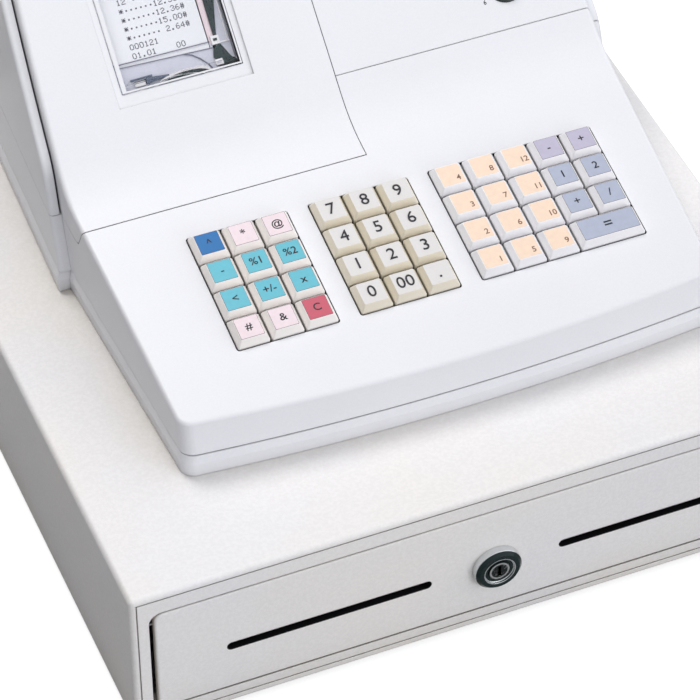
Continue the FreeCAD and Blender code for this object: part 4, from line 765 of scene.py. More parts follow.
class REGISTER_OT_keys(bpy.types.Operator):
    """Make the key caps with their labels and digits"""
    bl_idname = "register.keys"
    bl_label = "Keys"

    def cap(self, name, top, side):
        """Key cap: the flat top takes one colour and the drawn-in sides another; painted shade darkens its hollows,
        and its upright skirt and the gaps round it nearly to black.
        """
        material, graph, shader, skin = skinned(name, 0.35, 0.12, 0.15, Coat_Weight=0.15, Coat_Roughness=0.2)
        facing = graph.dot(graph.node("ShaderNodeTexCoord").outputs["Normal"], DECK[2])
        # Painted shade in hollows, in narrow gaps and on the upright skirt
        hollow = use_group(graph, "Hidden dust", Reach=3.0, Gap=2.0)
        skirt_shade = graph.maths("MULTIPLY", graph.ramp(facing, *SKIRT_FACING), 0.85)
        base = graph.mix(graph.ramp(facing, *TOP_FACING), side, top)
        base = graph.mix(graph.maths("MULTIPLY", hollow["Hollows"], 0.2), base, scaled(side, 0.5))
        base = graph.mix(graph.maths("MAXIMUM", skirt_shade, hollow["Gaps"]), base, scaled(side, 0.06))
        base = graph.darker(base, graph.ramp(skin["Speckle"], *NOISE_MIDDLE, 0.97, 1.0))
        graph.put(shader.inputs["Base Color"], base)
        graph.put(shader.inputs["Roughness"], graph.ramp(skin["Speckle"], *NOISE_SPAN, 0.28, 0.36))
        return material

    def label(self, name, tint):
        """Printed foil."""
        material, graph, shader = finish_material(name, Coat_Weight=0.3, Coat_Roughness=0.12)
        tone = graph.ramp(graph.noise(graph.place(), 260.0, 3.0), *NOISE_SPAN)
        graph.put(shader.inputs["Base Color"], graph.mix(tone, tint, scaled(tint, 0.93)))
        graph.put(shader.inputs["Roughness"], graph.ramp(tone, 0.0, 1.0, 0.30, 0.42))
        return material

    def cap_into(self, target, node, wanted, dish):
        """Rounded cap and stem with the heights and widths of the key's solid."""
        axis = DECK[2]
        places = [(v.co.dot(DECK[0]), v.co.dot(DECK[1]), v.co.dot(axis)) for v in NODES[node].data.vertices]
        levels = sorted({round(z / MM, 2) * MM for _, _, z in places})
        foot, low, shoulder, top = levels[0], levels[1], levels[-2], levels[-1]

        def reach(level):
            near = [p for p in places if abs(p[2] - level) < 0.05 * MM]
            return [(min(p[i] for p in near), max(p[i] for p in near)) for i in range(2)]

        across, along = reach(low)
        middle = ((across[0] + across[1]) / 2, (along[0] + along[1]) / 2)
        wide, narrow, stem = ([(b - a) / 2 for a, b in reach(level)] for level in (low, top, foot))
        wide = [half - wanted.clearance for half in wide]
        corner, soft = wanted.corner, wanted.soft
        lay = placed(DECK[0] * middle[0] + DECK[1] * middle[1], DECK)
        turn = 0.15 * MM

        def between(share, extra=0.0):
            return [a + (b - a) * share - extra for a, b in zip(wide, narrow)]

        near_top = 1 - soft / (top - shoulder)
        rings = [(wide, corner, low), (wide, corner, low + turn), (wide, corner, shoulder - turn),
                 (between(0.06), corner, shoulder + turn)]
        rings += [(between(near_top, soft * inward), corner * share, top - soft * down)
                  for inward, down, share in CAP_EDGE]
        flat = rings[-1][0]
        rings += [([half * share for half in flat], rings[-1][1] * share, top - dish * depth)
                  for share, depth in CAP_DISH]
        first = len(target.faces)
        made = bridge_into(target, [[lay @ Vector((x, y, height)) for x, y in soft_rectangle(*half, radius)]
                                    for half, radius, height in rings])
        target.faces.new(made[-1])
        number_faces(target, first, 0, True)
        target.faces.new(list(reversed(made[0])))
        box_into(target, (-stem[0], -stem[1], foot), (stem[0], stem[1], low + turn), lay)
        return placed(DECK[0] * middle[0] + DECK[1] * middle[1] + axis * top, DECK), flat

    def execute(self, context):
        wanted = context.scene.register_keys
        caps = {"number": self.cap("Number cap", (0.70, 0.68, 0.67), (0.74, 0.68, 0.56)),
                "function": self.cap("Function cap", (0.86, 0.82, 0.82), (0.86, 0.82, 0.79)),
                "department": self.cap("Department cap", (0.86, 0.85, 0.86), (0.84, 0.83, 0.85))}
        ink = self.label("Legend ink", (0.012, 0.012, 0.018))
        brown = self.label("Legend brown", (0.22, 0.12, 0.08))
        # Dark border round a label: a painted shadow line at its edge
        border = self.label("Label shadow line", (0.11, 0.075, 0.08))
        labels = {name: self.label("Label " + name, getattr(wanted, name))
                  for name in ("peach", "cyan", "blue", "rose", "blush", "lavender", "slate")}
        for node in sorted(NODES):
            if not node.startswith("key_"):
                continue
            group, place = node.split("_")[1:]
            target = bmesh.new()
            if group == "number":
                flat, half = self.cap_into(target, node, wanted, wanted.dish)
                materials, index = [caps[group], ink], 1
                lift, thick, weight = -wanted.dish, wanted.dish + PRINT_LIFT, 0.0
            else:
                flat, half = self.cap_into(target, node, wanted, 0.0)
                shade = self.shade(group, place)
                materials, index = [caps[group], labels[shade], brown if shade == "peach" else ink, border], 2
                lift, thick, weight = wanted.label_thick, PRINT_THICK, PRINT_BOLD
                self.plate_into(target, flat, half, wanted, wanted.label_inset, lift, materials, 1)
                # painted shadow line round the label
                if shade != "peach":
                    self.plate_into(target, flat, half, wanted, wanted.border_inset, lift / 2, materials, 3)
            words, size, shift = self.legend(wanted, group, place, *half)
            join_into(target, text_mesh(words, size, thick, weight),
                      flat @ Matrix.Translation((*shift, lift + PRINT_LIFT)), index)
            piece = mesh_object("cap_%s_%s" % (group, place), done(target, "cap"), node, *materials)
            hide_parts(node)
        return {"FINISHED"}

    def plate_into(self, target, flat, half, wanted, inset, thick, materials, index):
        """Label, or the dark border round it, which is a painted shadow line at the label's edge."""
        plate = run_tree("Rounded plate", {"Width": 2 * (half[0] - inset), "Length": 2 * (half[1] - inset),
                                           "Corner": wanted.label_corner, "Thickness": thick,
                                           "Finish": materials[index]})
        join_into(target, plate, flat, index)

    def shade(self, group, place):
        """Name of a key's label colour."""
        if group == "function":
            return FUNCTION_LABELS.get(place, "cyan")
        if place in DEPARTMENTS:
            return "peach"
        return "lavender" if place[0] == "1" else "slate"

    def legend(self, wanted, group, place, half_x, half_y):
        """Signs on a key, their height and their shift from its middle."""
        if group == "number":
            return NUMBERS[place], wanted.digit_height, (0, 0)
        if group == "function":
            return FUNCTIONS[place], wanted.sign_height, (0, 0)
        if place in DEPARTMENTS:
            return DEPARTMENTS[place], wanted.small_digit, (half_x * 0.52, -half_y * 0.42)
        return TOTALS[place], wanted.wide_sign if place == DOUBLE_KEY else wanted.sign_height, (0, 0)


# Printer, paper and window. Their small pieces count from the window's lower left corner and its outer
# face, across and up the slope.

FLAT_SLOPE = placed(Vector(), SLOPE)
WINDOW_LOW, WINDOW_HIGH = span("cover_window", SLOPE)
PAPER_LOW, PAPER_HIGH = span("paper_web", SLOPE)
# Finishes of the small pieces, in the order of their materials
GREEN, PALE, WHITE, SLATE, PINK, LINE = range(6)
PRINTER_FINISHES = (
    # Dark ribbon plastic, also used for the painted shadow under the finger notch
    ("Ribbon plastic and notch shadow", (0.004, 0.022, 0.024), {"rough": 0.3, "grain": 0.5, "edge": 0.3, "shade": 0.2}),
    ("Guide plastic", (0.60, 0.60, 0.69), {"rough": 0.35, "grain": 0.5, "edge": 0.3, "shade": 0.06}),
    ("Pale tab", (0.84, 0.82, 0.84), {"rough": 0.3, "grain": 0.4, "edge": 0.3, "shade": 0.04}),
    ("Lever plastic", (0.10, 0.13, 0.20), {"rough": 0.35, "grain": 0.4, "edge": 0.3, "shade": 0.15}),
    ("Ribbon edge", (0.80, 0.66, 0.70), {"rough": 0.5, "grain": 0.5, "edge": 0.2, "shade": 0.05}),
    ("Guide line", (0.16, 0.16, 0.22), {"rough": 0.4, "grain": 0.5, "edge": 0.1, "shade": 0.1}))
UNDER_WINDOW = FLAT_SLOPE @ Matrix.Translation((WINDOW_LOW[0], WINDOW_LOW[1], PAPER_HIGH[2]))
LENGTH = (WINDOW_HIGH[1] - WINDOW_LOW[1]) / MM
WIDTH = (WINDOW_HIGH[0] - WINDOW_LOW[0]) / MM
REST = -1.3  # top of the printer below the paper
# Each piece: its outline, lower and upper level, and finish
PRINTER_PIECES = [
    # dark gap of the ribbon beside the paper, wider up the slope
    ([(60.2, 20.3), (62.1, 20.3), (66.6, 39.2), (69.6, LENGTH - 1), (61.2, LENGTH - 1)], 0.5, 1.0, GREEN),
    # dark block at its foot, and the tabs beside it
    ([(56.9, 7.8), (61.8, 3.1), (69.4, 3.0), (69.4, 3.6), (66.7, 6.2), (62.4, 15.2), (58.2, 12.3)],
     REST, 1.4, GREEN),
    ([(58.2, 14.6), (62.9, 14.6), (62.9, 19.6), (58.2, 19.6)], REST, 1.5, WHITE),
    ([(59.4, 16.6), (61.6, 16.6), (61.6, 18.0), (59.4, 18.0)], 1.5, 1.7, GREEN),
    ([(56.9, 3.0), (61.3, 3.0), (61.3, 6.4), (56.9, 6.4)], REST, 1.6, WHITE),
    ([(57.7, 4.1), (60.3, 4.1), (60.3, 5.4), (57.7, 5.4)], 1.6, 1.7, PALE),
    # side guide with its two ribs
    ([(62.4, 3.0), (WIDTH - 0.6, 3.0), (WIDTH - 0.6, LENGTH - 1), (62.4, LENGTH - 1)], -3.6, 0.3, PALE),
    ([(67.2, 16.0), (67.8, 16.0), (69.2, LENGTH - 1), (68.6, LENGTH - 1)], 0.3, 0.75, WHITE),
    ([(62.6, 14.9), (WIDTH - 0.8, 14.9), (WIDTH - 0.8, 15.6), (62.6, 15.6)], 0.3, 0.9, WHITE),
    # edge of the ribbon
    ([(57.1, 15.5), (60.3, 15.5), (60.9, LENGTH - 1), (57.6, LENGTH - 1)], -0.6, 0.25, PINK),
    # lower guide plate with the two lines of the bar that holds the paper down, and their posts
    ([(-8.0, 0.4), (58.4, 0.4), (58.4, 13.2), (-8.0, 15.6)], 0.02, 0.3, PALE),
    ([(-8.0, 15.5), (42.5, 13.7), (58.4, 13.1), (58.4, 13.5), (42.5, 14.1), (-8.0, 15.9)], 0.05, 0.7, LINE),
    ([(-8.0, 17.1), (57.4, 16.8), (57.4, 17.2), (-8.0, 17.5)], 0.05, 0.6, LINE),
    ([(-8.0, 0.4), (-5.6, 0.4), (-5.6, 17.5), (-8.0, 17.5)], REST, 0.1, PALE),
    ([(56.9, 0.4), (58.4, 0.4), (58.4, 17.0), (56.9, 17.0)], REST, 0.1, PALE),
    # finger notch: its pale lip, a dark piece under the lip that is painted shadow, and the curved edge behind it
    ([(20.2, 0.5), (21.6, 0.5), (25.0, 2.0), (28.8, 3.2), (33.2, 4.1), (37.9, 4.5), (42.8, 4.4),
      (47.3, 3.9), (50.6, 2.8), (52.6, 1.4), (53.8, 1.4), (53.0, 2.9), (51.2, 4.0), (47.8, 5.1),
      (43.0, 5.7), (37.9, 5.8), (33.0, 5.4), (28.2, 4.4), (24.3, 3.0)], 0.3, 1.5, WHITE),
    ([(27.0, 1.5), (33.0, 1.9), (41.0, 2.0), (48.0, 1.7), (52.4, 1.2), (50.5, 2.6), (47.2, 3.7),
      (42.8, 4.2), (37.9, 4.3), (33.3, 3.9), (29.4, 2.9)], 0.3, 1.45, GREEN),
    ([(54.3, 2.4), (54.8, 2.6), (52.6, 6.2), (49.5, 9.7), (45.7, 12.5), (40.8, 14.2), (40.6, 13.8),
      (45.4, 12.1), (49.1, 9.3), (52.2, 5.9)], 0.3, 0.9, LINE),
    # release lever at the lower left
    ([(7.9, 6.6), (20.6, 6.9), (20.6, 7.6), (7.9, 7.5)], 0.3, 1.3, SLATE),
    ([(9.6, 4.9), (16.4, 5.2), (16.4, 5.9), (9.6, 5.7)], 0.3, 1.2, GREEN),
    ([(16.2, 3.0), (29.6, 4.4), (29.6, 5.2), (20.4, 6.4), (16.2, 6.2)], 0.3, 1.5, SLATE),
    ([(9.6, 2.8), (15.6, 2.8), (15.6, 4.5), (9.6, 4.5)], 0.3, 1.1, WHITE),
]


class REGISTER_OT_printer(bpy.types.Operator):
    """Finish the printer and add its guides and ribbon pieces under the window"""
    bl_idname = "register.printer"
    bl_label = "Printer"

    def execute(self, context):
        dark = moulded("Printer plastic", (0.05, 0.055, 0.058), rough=0.45, grain=0.6, depth=0.5, edge=0.5,
                       shade=0.15)
        spool = moulded("Spool plastic", (0.09, 0.09, 0.10), rough=0.4, grain=0.5, depth=0.4, edge=0.5, shade=0.15)
        dress(dark, "printer_unit")
        dress(spool, "takeup_spool")
        target = bmesh.new()
        for outline, low, high, index in PRINTER_PIECES:
            prism_into(target, [(x * MM, y * MM) for x, y in outline], low * MM, high * MM, UNDER_WINDOW, index)
        mesh_object("printer_guides", done(target, "printer_guides"), "printer_unit",
                    *(moulded(name, colour, depth=0.2, **finish) for name, colour, finish in PRINTER_FINISHES))
        return {"FINISHED"}


class REGISTER_OT_window(bpy.types.Operator):
    """Finish the clear window and frame it"""
    bl_idname = "register.window"
    bl_label = "Window"

    def execute(self, context):
        clear, graph, shader, skin = skinned("Clear window", 3.0, 0.02, 0.3, Transmission_Weight=1.0, IOR=1.25)
        graph.put(shader.inputs["Base Color"], graph.mix(graph.ramp(skin["Patches"], *NOISE_SPAN),
                                                         (0.98, 0.985, 0.99), (0.95, 0.965, 0.98)))
        graph.put(shader.inputs["Roughness"], graph.ramp(skin["Patches"], *NOISE_SPAN, 0.01, 0.03))
        path = graph.node("ShaderNodeLightPath")
        lit = graph.maths("MAXIMUM", path.outputs["Is Shadow Ray"], path.outputs["Is Diffuse Ray"])
        passing = graph.node("ShaderNodeBsdfTransparent")
        shown = graph.node("ShaderNodeMixShader", {0: lit, 1: shader, 2: passing})
        graph.put(clear.node_tree.nodes["Material Output"].inputs["Surface"], shown)
        dress(clear, "cover_window")
        self.rim(context.scene.register_case)
        return {"FINISHED"}

    def rim(self, wanted):
        """Raised frame round the clear window."""
        plastic = moulded("Window rim", wanted.colour, rough=0.3, grain=wanted.grain, depth=0.15, edge=0.25,
                          shade=0.02)
        gap, left, narrow = wanted.rim_gap, wanted.rim_left, wanted.rim
        outer = WINDOW_LOW[0] + gap, WINDOW_HIGH[0] - gap, WINDOW_LOW[1] + gap, WINDOW_HIGH[1] - gap
        inner = outer[0] + left, outer[1] - narrow, outer[2] + narrow, outer[3] - narrow
        low = WINDOW_HIGH[2] + 0.02 * MM
        high = low + wanted.rim_high
        target = bmesh.new()
        loops = []
        for (x0, x1, y0, y1), level in ((outer, low), (outer, high), (inner, high), (inner, low)):
            loops.append([FLAT_SLOPE @ Vector((x, y, level)) for x, y in ((x0, y0), (x1, y0), (x1, y1), (x0, y1))])
        bridge_into(target, loops, True)
        mesh_object("window_rim", done(target, "window_rim"), "printer_cover", plastic)


# Dot patterns of the printed characters, seven rows of five.
GLYPHS = {
    "0": "01110 10001 10001 10001 10001 10001 01110", "1": "00100 01100 00100 00100 00100 00100 01110",
    "2": "01110 10001 00001 00110 01000 10000 11111", "3": "01110 10001 00001 00110 00001 10001 01110",
    "4": "00010 00110 01010 10010 11111 00010 00010", "5": "11111 10000 11110 00001 00001 10001 01110",
    "6": "00110 01000 10000 11110 10001 10001 01110", "7": "11111 00001 00010 00100 01000 01000 01000",
    "8": "01110 10001 10001 01110 10001 10001 01110", "9": "01110 10001 10001 01111 00001 00010 01100",
    ".": "00000 00000 00000 00000 00000 01100 01100", "#": "01010 01010 11111 01010 11111 01010 01010",
    "*": "00000 10101 01110 11111 01110 10101 00000", "-": "00000 00000 00000 00110 00110 00000 00000",
    " ": "00000 00000 00000 00000 00000 00000 00000",
}
# Printed lines, the lowest first
PRINTED = ("01.01    00", "000121", "*------ 2.64#", "*------15.00#", "*------12.36#", "*------12.30#",
           "12 -------24", "*------ 4.85#", "*------31.20#", "11 -------23", "000120")


class REGISTER_OT_paper(bpy.types.Operator):
    """Finish the paper, print its lines and show the turns of the roll"""
    bl_idname = "register.paper"
    bl_label = "Paper"

    def execute(self, context):
        wanted = context.scene.register_paper
        paper, graph, shader, skin = skinned("Paper", 0.25, 0.25, 0.1)
        graph.put(shader.inputs["Base Color"], graph.mix(graph.ramp(skin["Speckle"], *NOISE_MIDDLE),
                                                         (0.80, 0.80, 0.83), (0.74, 0.74, 0.78)))
        graph.put(shader.inputs["Roughness"], graph.ramp(skin["Patches"], *NOISE_SPAN, 0.75, 0.85))
        dress(paper, "paper_web", "paper_roll")
        ink, graph, shader = finish_material("Printing ink", Roughness=0.7)
        worn = graph.noise(graph.place(), 900.0, 2.0)
        graph.put(shader.inputs["Base Color"], graph.mix(graph.ramp(worn, 0.3, 0.75), (0.012, 0.012, 0.028),
                                                         (0.06, 0.055, 0.09)))
        points = []
        for line, words in enumerate(PRINTED):
            for place, sign in enumerate(words):
                for row, pattern in enumerate(GLYPHS[sign].split()):
                    points += [(wanted.first_column + place * wanted.character_pitch + column * wanted.dot_pitch,
                                wanted.first_line + line * wanted.line_pitch - row * wanted.dot_pitch, 0)
                               for column, dot in enumerate(pattern) if dot == "1"]
        dots = run_tree("Printed dots", {"Radius": wanted.dot / 2, "Finish": ink}, points)
        target = bmesh.new()
        corner = Vector((PAPER_LOW[0], WINDOW_LOW[1], PAPER_HIGH[2] + PRINT_LIFT))
        join_into(target, dots, FLAT_SLOPE @ Matrix.Translation(corner))
        mesh_object("printed_lines", done(target, "printed_lines"), "paper_web", ink)
        self.turns("paper_roll", Vector(JOINTS["roll_spin"]["pos_m"]), paper)
        return {"FINISHED"}

    def turns(self, node, centre, paper):
        """Edges of the paper's turns on both flat ends of a roll."""
        points = [v.co for v in NODES[node].data.vertices]
        reach = [math.hypot(p.y - centre.y, p.z - centre.z) for p in points]
        coil = run_tree("Paper turns", {"Inner": min(reach) + 0.6 * MM, "Outer": max(reach) - 0.4 * MM,
                                        "Ridge": 0.1 * MM, "Rotations": 16.0, "Finish": paper})
        target = bmesh.new()
        for x in (min(p.x for p in points), max(p.x for p in points)):
            turn = Matrix.Translation((x, centre.y, centre.z)) @ Matrix.Rotation(math.pi / 2, 4, "Y")
            join_into(target, coil, turn)
        mesh_object("turns_" + node, done(target, "turns", True), node, paper)


# Displays

# A digit's height as a share of the lens; its width, bar, lean and point as shares of its height; and the end
# of a bar that is left free, as a share of the bar's width
DIGIT_HEIGHT, DIGIT_WIDTH, DIGIT_BAR, DIGIT_LEAN = 0.42, 0.5, 0.10, 0.12
POINT_AT, POINT_SIZE, BAR_END = 0.62, 0.11, 0.65
BAR_THICK = 0.1 * MM
# Bars that are lit in each digit, named a to f round it from the top and g across its middle
SEGMENTS = {"0": "abcdef", "1": "bc", "2": "abged", "3": "abgcd", "4": "fgbc", "5": "afgcd", "6": "afgedc",
            "7": "abc", "8": "abcdefg", "9": "abcdfg"}


# How far from a point its recess is looked for
NEAR_RECESS = 120 * MM


def recess_floor(node, normal, near):
    """Frame, width and length of the largest flat face sunk below a point, looking along normal."""
    mesh = NODES[node].data
    across = Vector((1, 0, 0)) if normal.y < 0.9 else Vector((-1, 0, 0))
    up = normal.cross(across)
    levels = {}
    for face in mesh.polygons:
        away = face.center - near
        if face.normal.dot(normal) > 0.99999 and away.length < NEAR_RECESS and away.dot(normal) < -MM:
            levels.setdefault(round(face.center.dot(normal) / MM, 1), []).append(face)
    faces = max(levels.values(), key=lambda found: sum(f.area for f in found))
    points = [mesh.vertices[i].co for f in faces for i in f.vertices]
    low, high = [[pick(p.dot(axis) for p in points) for axis in (across, up)] for pick in (min, max)]
    middle = (across * ((low[0] + high[0]) / 2) + up * ((low[1] + high[1]) / 2) + normal * points[0].dot(normal))
    return placed(middle, (across, up, normal)), high[0] - low[0], high[1] - low[1]


class REGISTER_OT_displays(bpy.types.Operator):
    """Add the lenses and digits of the two displays"""
    bl_idname = "register.displays"
    bl_label = "Displays"

    def segment(self, target, name, left, height, lift, matrix, index):
        """One bar of a seven-part digit whose lower left corner is at (left, 0)."""
        width, bar = height * DIGIT_WIDTH, height * DIGIT_BAR
        x, y, level = {"a": (0, 1, True), "g": (0, 0.5, True), "d": (0, 0, True), "f": (0, 0.5, False),
                       "e": (0, 0, False), "b": (1, 0.5, False), "c": (1, 0, False)}[name]
        if level:
            low, high = (bar * BAR_END, y * height - bar / 2), (width - bar * BAR_END, y * height + bar / 2)
        else:
            low = (x * width - bar / 2, y * height + bar * BAR_END)
            high = (x * width + bar / 2, (y + 0.5) * height - bar * BAR_END)
        outline = [(left + px + DIGIT_LEAN * py, py) for px, py in
                   (low, (high[0], low[1]), high, (low[0], high[1]))]
        prism_into(target, outline, lift, lift + BAR_THICK, matrix, index)

    def display(self, name, floor, wanted, lens, lit, unlit):
        """Lens over a row of digits in a recess."""
        matrix, width, tall = floor
        words, thick = wanted.shown, wanted.lens_thick
        target = bmesh.new()
        plate = run_tree("Rounded plate", {"Width": width - wanted.lens_gap, "Length": tall - wanted.lens_gap,
                                           "Corner": wanted.lens_corner, "Thickness": thick, "Finish": lens})
        join_into(target, plate, matrix @ Matrix.Translation((0, 0, 0.02 * MM)), 0)
        height = tall * DIGIT_HEIGHT
        pitch = width / (len(words) + 1)
        start = -width / 2 + pitch * 0.75
        lift = thick + PRINT_LIFT
        for i, sign in enumerate(words):
            place = matrix @ Matrix.Translation((0, -height / 2, 0))
            left = start + i * pitch
            for part in "abcdefg":
                on = part in SEGMENTS.get(sign, "")
                self.segment(target, part, left, height, lift, place, 1 if on else 2)
            x, dot = left + height * POINT_AT, height * POINT_SIZE
            box_into(target, (x, 0, lift), (x + dot, dot, lift + BAR_THICK), place,
                     1 if i == len(words) - 3 else 2)
        mesh_object(name, done(target, name), "upper_case", lens, lit, unlit)

    def execute(self, context):
        wanted = context.scene.register_display
        lens = moulded("Display lens", (0.010, 0.014, 0.013), rough=0.10, grain=2.0, depth=0.02, edge=0.3,
                       shade=0.2)
        lit, graph, shader = finish_material("Lit segment", Roughness=0.3, Emission_Strength=wanted.glow)
        glow = graph.mix(graph.noise(graph.place(), 400.0), wanted.colour, scaled(wanted.colour, 0.8))
        graph.put(shader.inputs["Emission Color"], glow)
        graph.put(shader.inputs["Base Color"], glow)
        unlit = moulded("Unlit segment", (0.016, 0.024, 0.022), rough=0.15, grain=1.0, depth=0.02, edge=0.1,
                        shade=0.1)
        front = recess_floor("upper_case", SLOPE[2], MODE_AT)
        self.display("front_display", front, wanted, lens, lit, unlit)
        high = Vector(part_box("upper_case")[1])
        rear = recess_floor("upper_case", Vector((0, 1, 0)), Vector((MODE_AT.x, high.y, high.z)))
        self.display("rear_display", rear, wanted, lens, lit, unlit)
        return {"FINISHED"}


# Bezel of the mode switch: out from the switch's edge and up from the panel, in millimetres
BEZEL = ((2.6, 0.02), (2.3, 0.6), (1.6, 0.95), (0.9, 0.95), (0.45, 0.6), (0.4, 0.02))
MODES = 7
# From the switch's edge to both ends of a mark and to the middle of its number; half a mark's width, the number's
# height, in millimetres
MARK_FROM, MARK_TO, NUMBER_AT = 3.4, 5.0, 7.6
MARK_HALF, NUMBER_SIZE = 0.25, 3.6


class REGISTER_OT_mode(bpy.types.Operator):
    """Finish the mode switch and add its bezel and marks"""
    bl_idname = "register.mode"
    bl_label = "Mode switch"

    def execute(self, context):
        switch = moulded("Switch plastic", (0.012, 0.012, 0.013), rough=0.25, grain=0.4, depth=0.2, edge=0.4,
                         shade=0.2)
        dress(switch, "mode_switch")
        bezel = moulded("Switch bezel", (0.006, 0.014, 0.014), rough=0.16, grain=0.3, depth=0.1, edge=0.5,
                        shade=0.05)
        ink = moulded("Panel ink", (0.02, 0.022, 0.03), rough=0.5, grain=0.3, depth=0.1, edge=0.1, shade=0.2)
        low, high = span("mode_switch", SLOPE)
        radius = (high[0] - low[0]) / 2
        joint = JOINTS["mode_turn"]
        flat = placed(MODE_AT, SLOPE)
        target = bmesh.new()
        turned_into(target, [(radius + out * MM, up * MM) for out, up in BEZEL], 48, flat, 0, True)
        first, last = joint["range_deg"]
        for i in range(MODES):
            turn = Matrix.Rotation(math.radians(first + i * (last - first) / (MODES - 1)), 4, "Z")
            box_into(target, (-MARK_HALF * MM, radius + MARK_FROM * MM, 0.01 * MM),
                     (MARK_HALF * MM, radius + MARK_TO * MM, 0.05 * MM), flat @ turn, 1)
            away = turn @ Vector((0, radius + NUMBER_AT * MM, 0))
            join_into(target, text_mesh(str(i), NUMBER_SIZE * MM),
                      flat @ Matrix.Translation((away.x, away.y, PRINT_LIFT)), 1)
        mesh_object("mode_bezel", done(target, "mode_bezel"), "upper_case", bezel, ink)
        return {"FINISHED"}


# Height of the screws on the lower moulding, and on the upper one as a share of its height; their distance from
# the middle as a share of the width; and a head's radius and height
LOW_SCREWS, HIGH_SCREWS, SCREW_SPREAD = 24 * MM, 0.14, 0.40
SCREW_HEAD, SCREW_HEIGHT = 3.1 * MM, 0.9 * MM


class REGISTER_OT_screws(bpy.types.Operator):
    """Add the cross-head screws in the back of the register"""
    bl_idname = "register.screws"
    bl_label = "Screws"

    def execute(self, context):
        steel = moulded("Screw steel", (0.42, 0.43, 0.45), rough=0.3, grain=0.4, depth=0.1, edge=0.2, shade=0.1,
                        Metallic=1.0)
        for node in ("keyboard_case", "upper_case"):
            low, high = (Vector(corner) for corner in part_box(node))
            up = LOW_SCREWS if node == "keyboard_case" else (high.z - low.z) * HIGH_SCREWS
            height = low.z + up
            wall = [v.co for v in NODES[node].data.vertices if v.normal.y > 0.9]
            below = max(wall, key=lambda p: p.y)
            above = max((p for p in wall if p.z > below.z + 10 * MM), key=lambda p: p.y)
            way = above - below
            way.x = 0
            normal = Vector((0, way.z, -way.y)).normalized()
            across = Vector((-1, 0, 0))
            share = (height - below.z) / way.z
            base = Vector(((low.x + high.x) / 2, below.y + way.y * share, height)) + normal * 0.02 * MM
            points = [(side * (high.x - low.x) * SCREW_SPREAD, 0, 0) for side in (-1, 1)]
            heads = run_tree("Cross-head screws", {"Head": SCREW_HEAD, "Height": SCREW_HEIGHT, "Finish": steel},
                             points)
            target = bmesh.new()
            join_into(target, heads, placed(base, (across, normal.cross(across), normal)))
            mesh_object("screws_" + node, done(target, "screws"), node, steel)
        return {"FINISHED"}


# Studio. The camera's place and its angles in degrees stand for the photograph's view.

CAMERA_AT = Vector((-0.60967, -1.51261, 1.59552))
CAMERA_TURN, CAMERA_TILT, CAMERA_ROLL = (math.radians(angle) for angle in (22.03, 44.08, -0.53))
# Each light's place, aim, size and colour
KEY_LIGHT = (-0.40, 0.90, 2.1), (0, 0, 0.1), (0.9, 0.9), (1.0, 0.98, 0.955)
FILL_LIGHT = (1.3, -2.6, 0.55), (0, 0, 0.06), (1.2, 0.8), (1.0, 0.985, 0.97)
SKY_COLOUR = (0.945, 0.96, 1.0)
SKY_LEAN = (1.0, -0.95, 0.0)


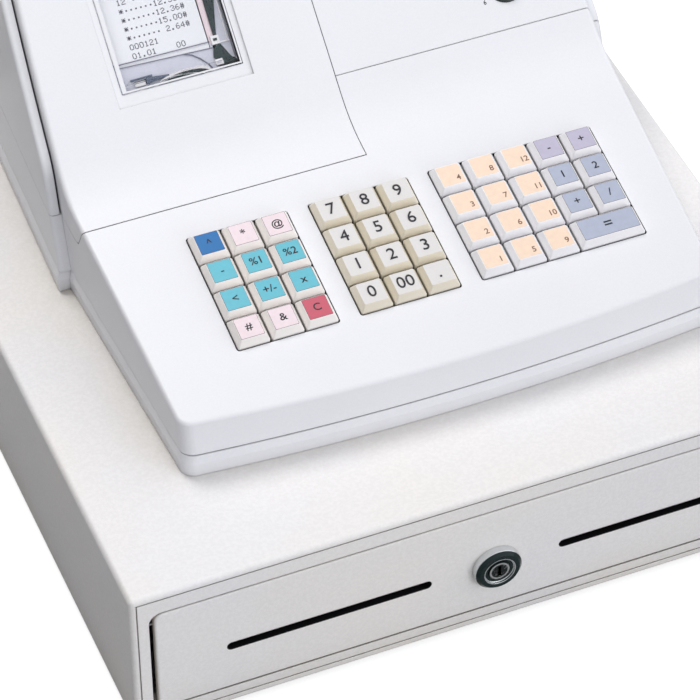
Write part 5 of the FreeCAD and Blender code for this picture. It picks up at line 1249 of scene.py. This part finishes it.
class REGISTER_OT_studio(bpy.types.Operator):
    """Floor, lights, surroundings and camera"""
    bl_idname = "register.studio"
    bl_label = "Studio"

    def light(self, name, power, place, aim, size, tint):
        data = bpy.data.lights.new(name, "AREA")
        data.shape = "RECTANGLE"
        data.size, data.size_y = size
        data.energy = power
        data.color = tint
        made = linked(name, data)
        made.location = place
        made.rotation_mode = "QUATERNION"
        made.rotation_quaternion = (Vector(aim) - Vector(place)).to_track_quat("-Z", "Y")

    def lay_floor(self):
        """Pale floor that the camera sees a little brighter than it is lit."""
        target = bmesh.new()
        bmesh.ops.create_grid(target, x_segments=2, y_segments=2, size=6.0)
        mesh = done(target, "floor")
        material, graph, shader = finish_material("Floor", Roughness=0.9)
        tone = graph.noise(graph.place(), 0.4, 1.0)
        graph.put(shader.inputs["Base Color"], graph.mix(tone, (0.40, 0.40, 0.40), (0.43, 0.43, 0.43)))
        seen = graph.node("ShaderNodeLightPath").outputs["Is Camera Ray"]
        white = graph.node("ShaderNodeEmission", {"Color": (1.0, 1.0, 1.0), "Strength": 0.74})
        pale = graph.node("ShaderNodeAddShader", {0: shader, 1: white})
        shown = graph.node("ShaderNodeMixShader", {0: seen, 1: shader, 2: pale})
        graph.put(material.node_tree.nodes["Material Output"].inputs["Surface"], shown)
        mesh.materials.append(material)
        floor = linked("floor", mesh)

    def surroundings(self, strength):
        """Sky that lights the object more from the right front; the camera sees plain white."""
        world = bpy.data.worlds.new("Surroundings")
        bpy.context.scene.world = world
        world.use_nodes = True
        graph = Graph(world.node_tree)
        sky = world.node_tree.nodes["Background"]
        graph.put(sky.inputs["Color"], SKY_COLOUR)
        lean = graph.dot(graph.node("ShaderNodeTexCoord").outputs["Generated"], SKY_LEAN)
        bright = graph.maths("MAXIMUM", graph.maths("ADD", lean, 1.0), 0.0)
        graph.put(sky.inputs["Strength"], graph.maths("MULTIPLY", bright, strength))
        wall = graph.node("ShaderNodeBackground", {"Color": (1.0, 1.0, 1.0), "Strength": 0.98})
        shown = graph.node("ShaderNodeMixShader", {0: graph.node("ShaderNodeLightPath").outputs["Is Camera Ray"],
                                                   1: sky, 2: wall})
        graph.put(world.node_tree.nodes["World Output"].inputs["Surface"], shown)

    def camera(self, focal):
        data = bpy.data.cameras.new("camera")
        data.lens = focal
        data.sensor_width = 36.0
        data.clip_start, data.clip_end = 0.05, 50.0
        holder = linked("camera", data)
        turn, tilt, roll = CAMERA_TURN, CAMERA_TILT, CAMERA_ROLL
        ahead = Vector((math.sin(turn) * math.cos(tilt), math.cos(turn) * math.cos(tilt), -math.sin(tilt)))
        right = Vector((math.cos(turn), -math.sin(turn), 0))
        above = right.cross(ahead)
        side = right * math.cos(roll) + above * math.sin(roll)
        above = above * math.cos(roll) - right * math.sin(roll)
        holder.matrix_world = placed(CAMERA_AT, (side, above, -ahead))
        bpy.context.scene.camera = holder

    def execute(self, context):
        wanted = context.scene.register_studio
        self.lay_floor()
        self.light("key", wanted.key_power, *KEY_LIGHT)
        self.light("fill", wanted.fill_power, *FILL_LIGHT)
        self.surroundings(wanted.sky)
        context.scene.view_settings.view_transform = "Standard"
        self.camera(wanted.lens)
        return {"FINISHED"}


class REGISTER_PT_panel(bpy.types.Panel):
    """Lists the pieces and their settings"""
    bl_label = "Register"
    bl_idname = "REGISTER_PT_panel"
    bl_space_type = "VIEW_3D"
    bl_region_type = "UI"
    bl_category = "Register"

    def draw(self, context):
        layout = self.layout
        for kind in OPERATORS:
            layout.operator(kind.bl_idname)
        for holder in SETTINGS:
            values = getattr(context.scene, holder)
            for name in values.bl_rna.properties.keys():
                if name not in ("rna_type", "name"):
                    layout.prop(values, name)


OPERATORS = (REGISTER_OT_studio, REGISTER_OT_case, REGISTER_OT_drawer, REGISTER_OT_lock, REGISTER_OT_keys,
             REGISTER_OT_printer, REGISTER_OT_window, REGISTER_OT_paper, REGISTER_OT_displays, REGISTER_OT_mode,
             REGISTER_OT_screws)
SETTINGS = {"register_case": RegisterCaseSettings, "register_drawer": RegisterDrawerSettings,
            "register_keys": RegisterKeySettings, "register_paper": RegisterPaperSettings,
            "register_display": RegisterDisplaySettings, "register_studio": RegisterStudioSettings}


def register():
    for kind in (*SETTINGS.values(), *OPERATORS, REGISTER_PT_panel):
        bpy.utils.register_class(kind)
    for name, kind in SETTINGS.items():
        setattr(bpy.types.Scene, name, PointerProperty(type=kind))


def unregister():
    for name in SETTINGS:
        delattr(bpy.types.Scene, name)
    for kind in (REGISTER_PT_panel, *reversed(OPERATORS), *reversed(SETTINGS.values())):
        bpy.utils.unregister_class(kind)


def main():
    register()
    build_groups()
    build_trees()
    bpy.ops.register.studio()
    bpy.ops.register.case()
    bpy.ops.register.drawer()
    bpy.ops.register.lock()
    bpy.ops.register.keys()
    bpy.ops.register.printer()
    bpy.ops.register.window()
    bpy.ops.register.paper()
    bpy.ops.register.displays()
    bpy.ops.register.mode()
    bpy.ops.register.screws()


if __name__ == "__main__":
    main()
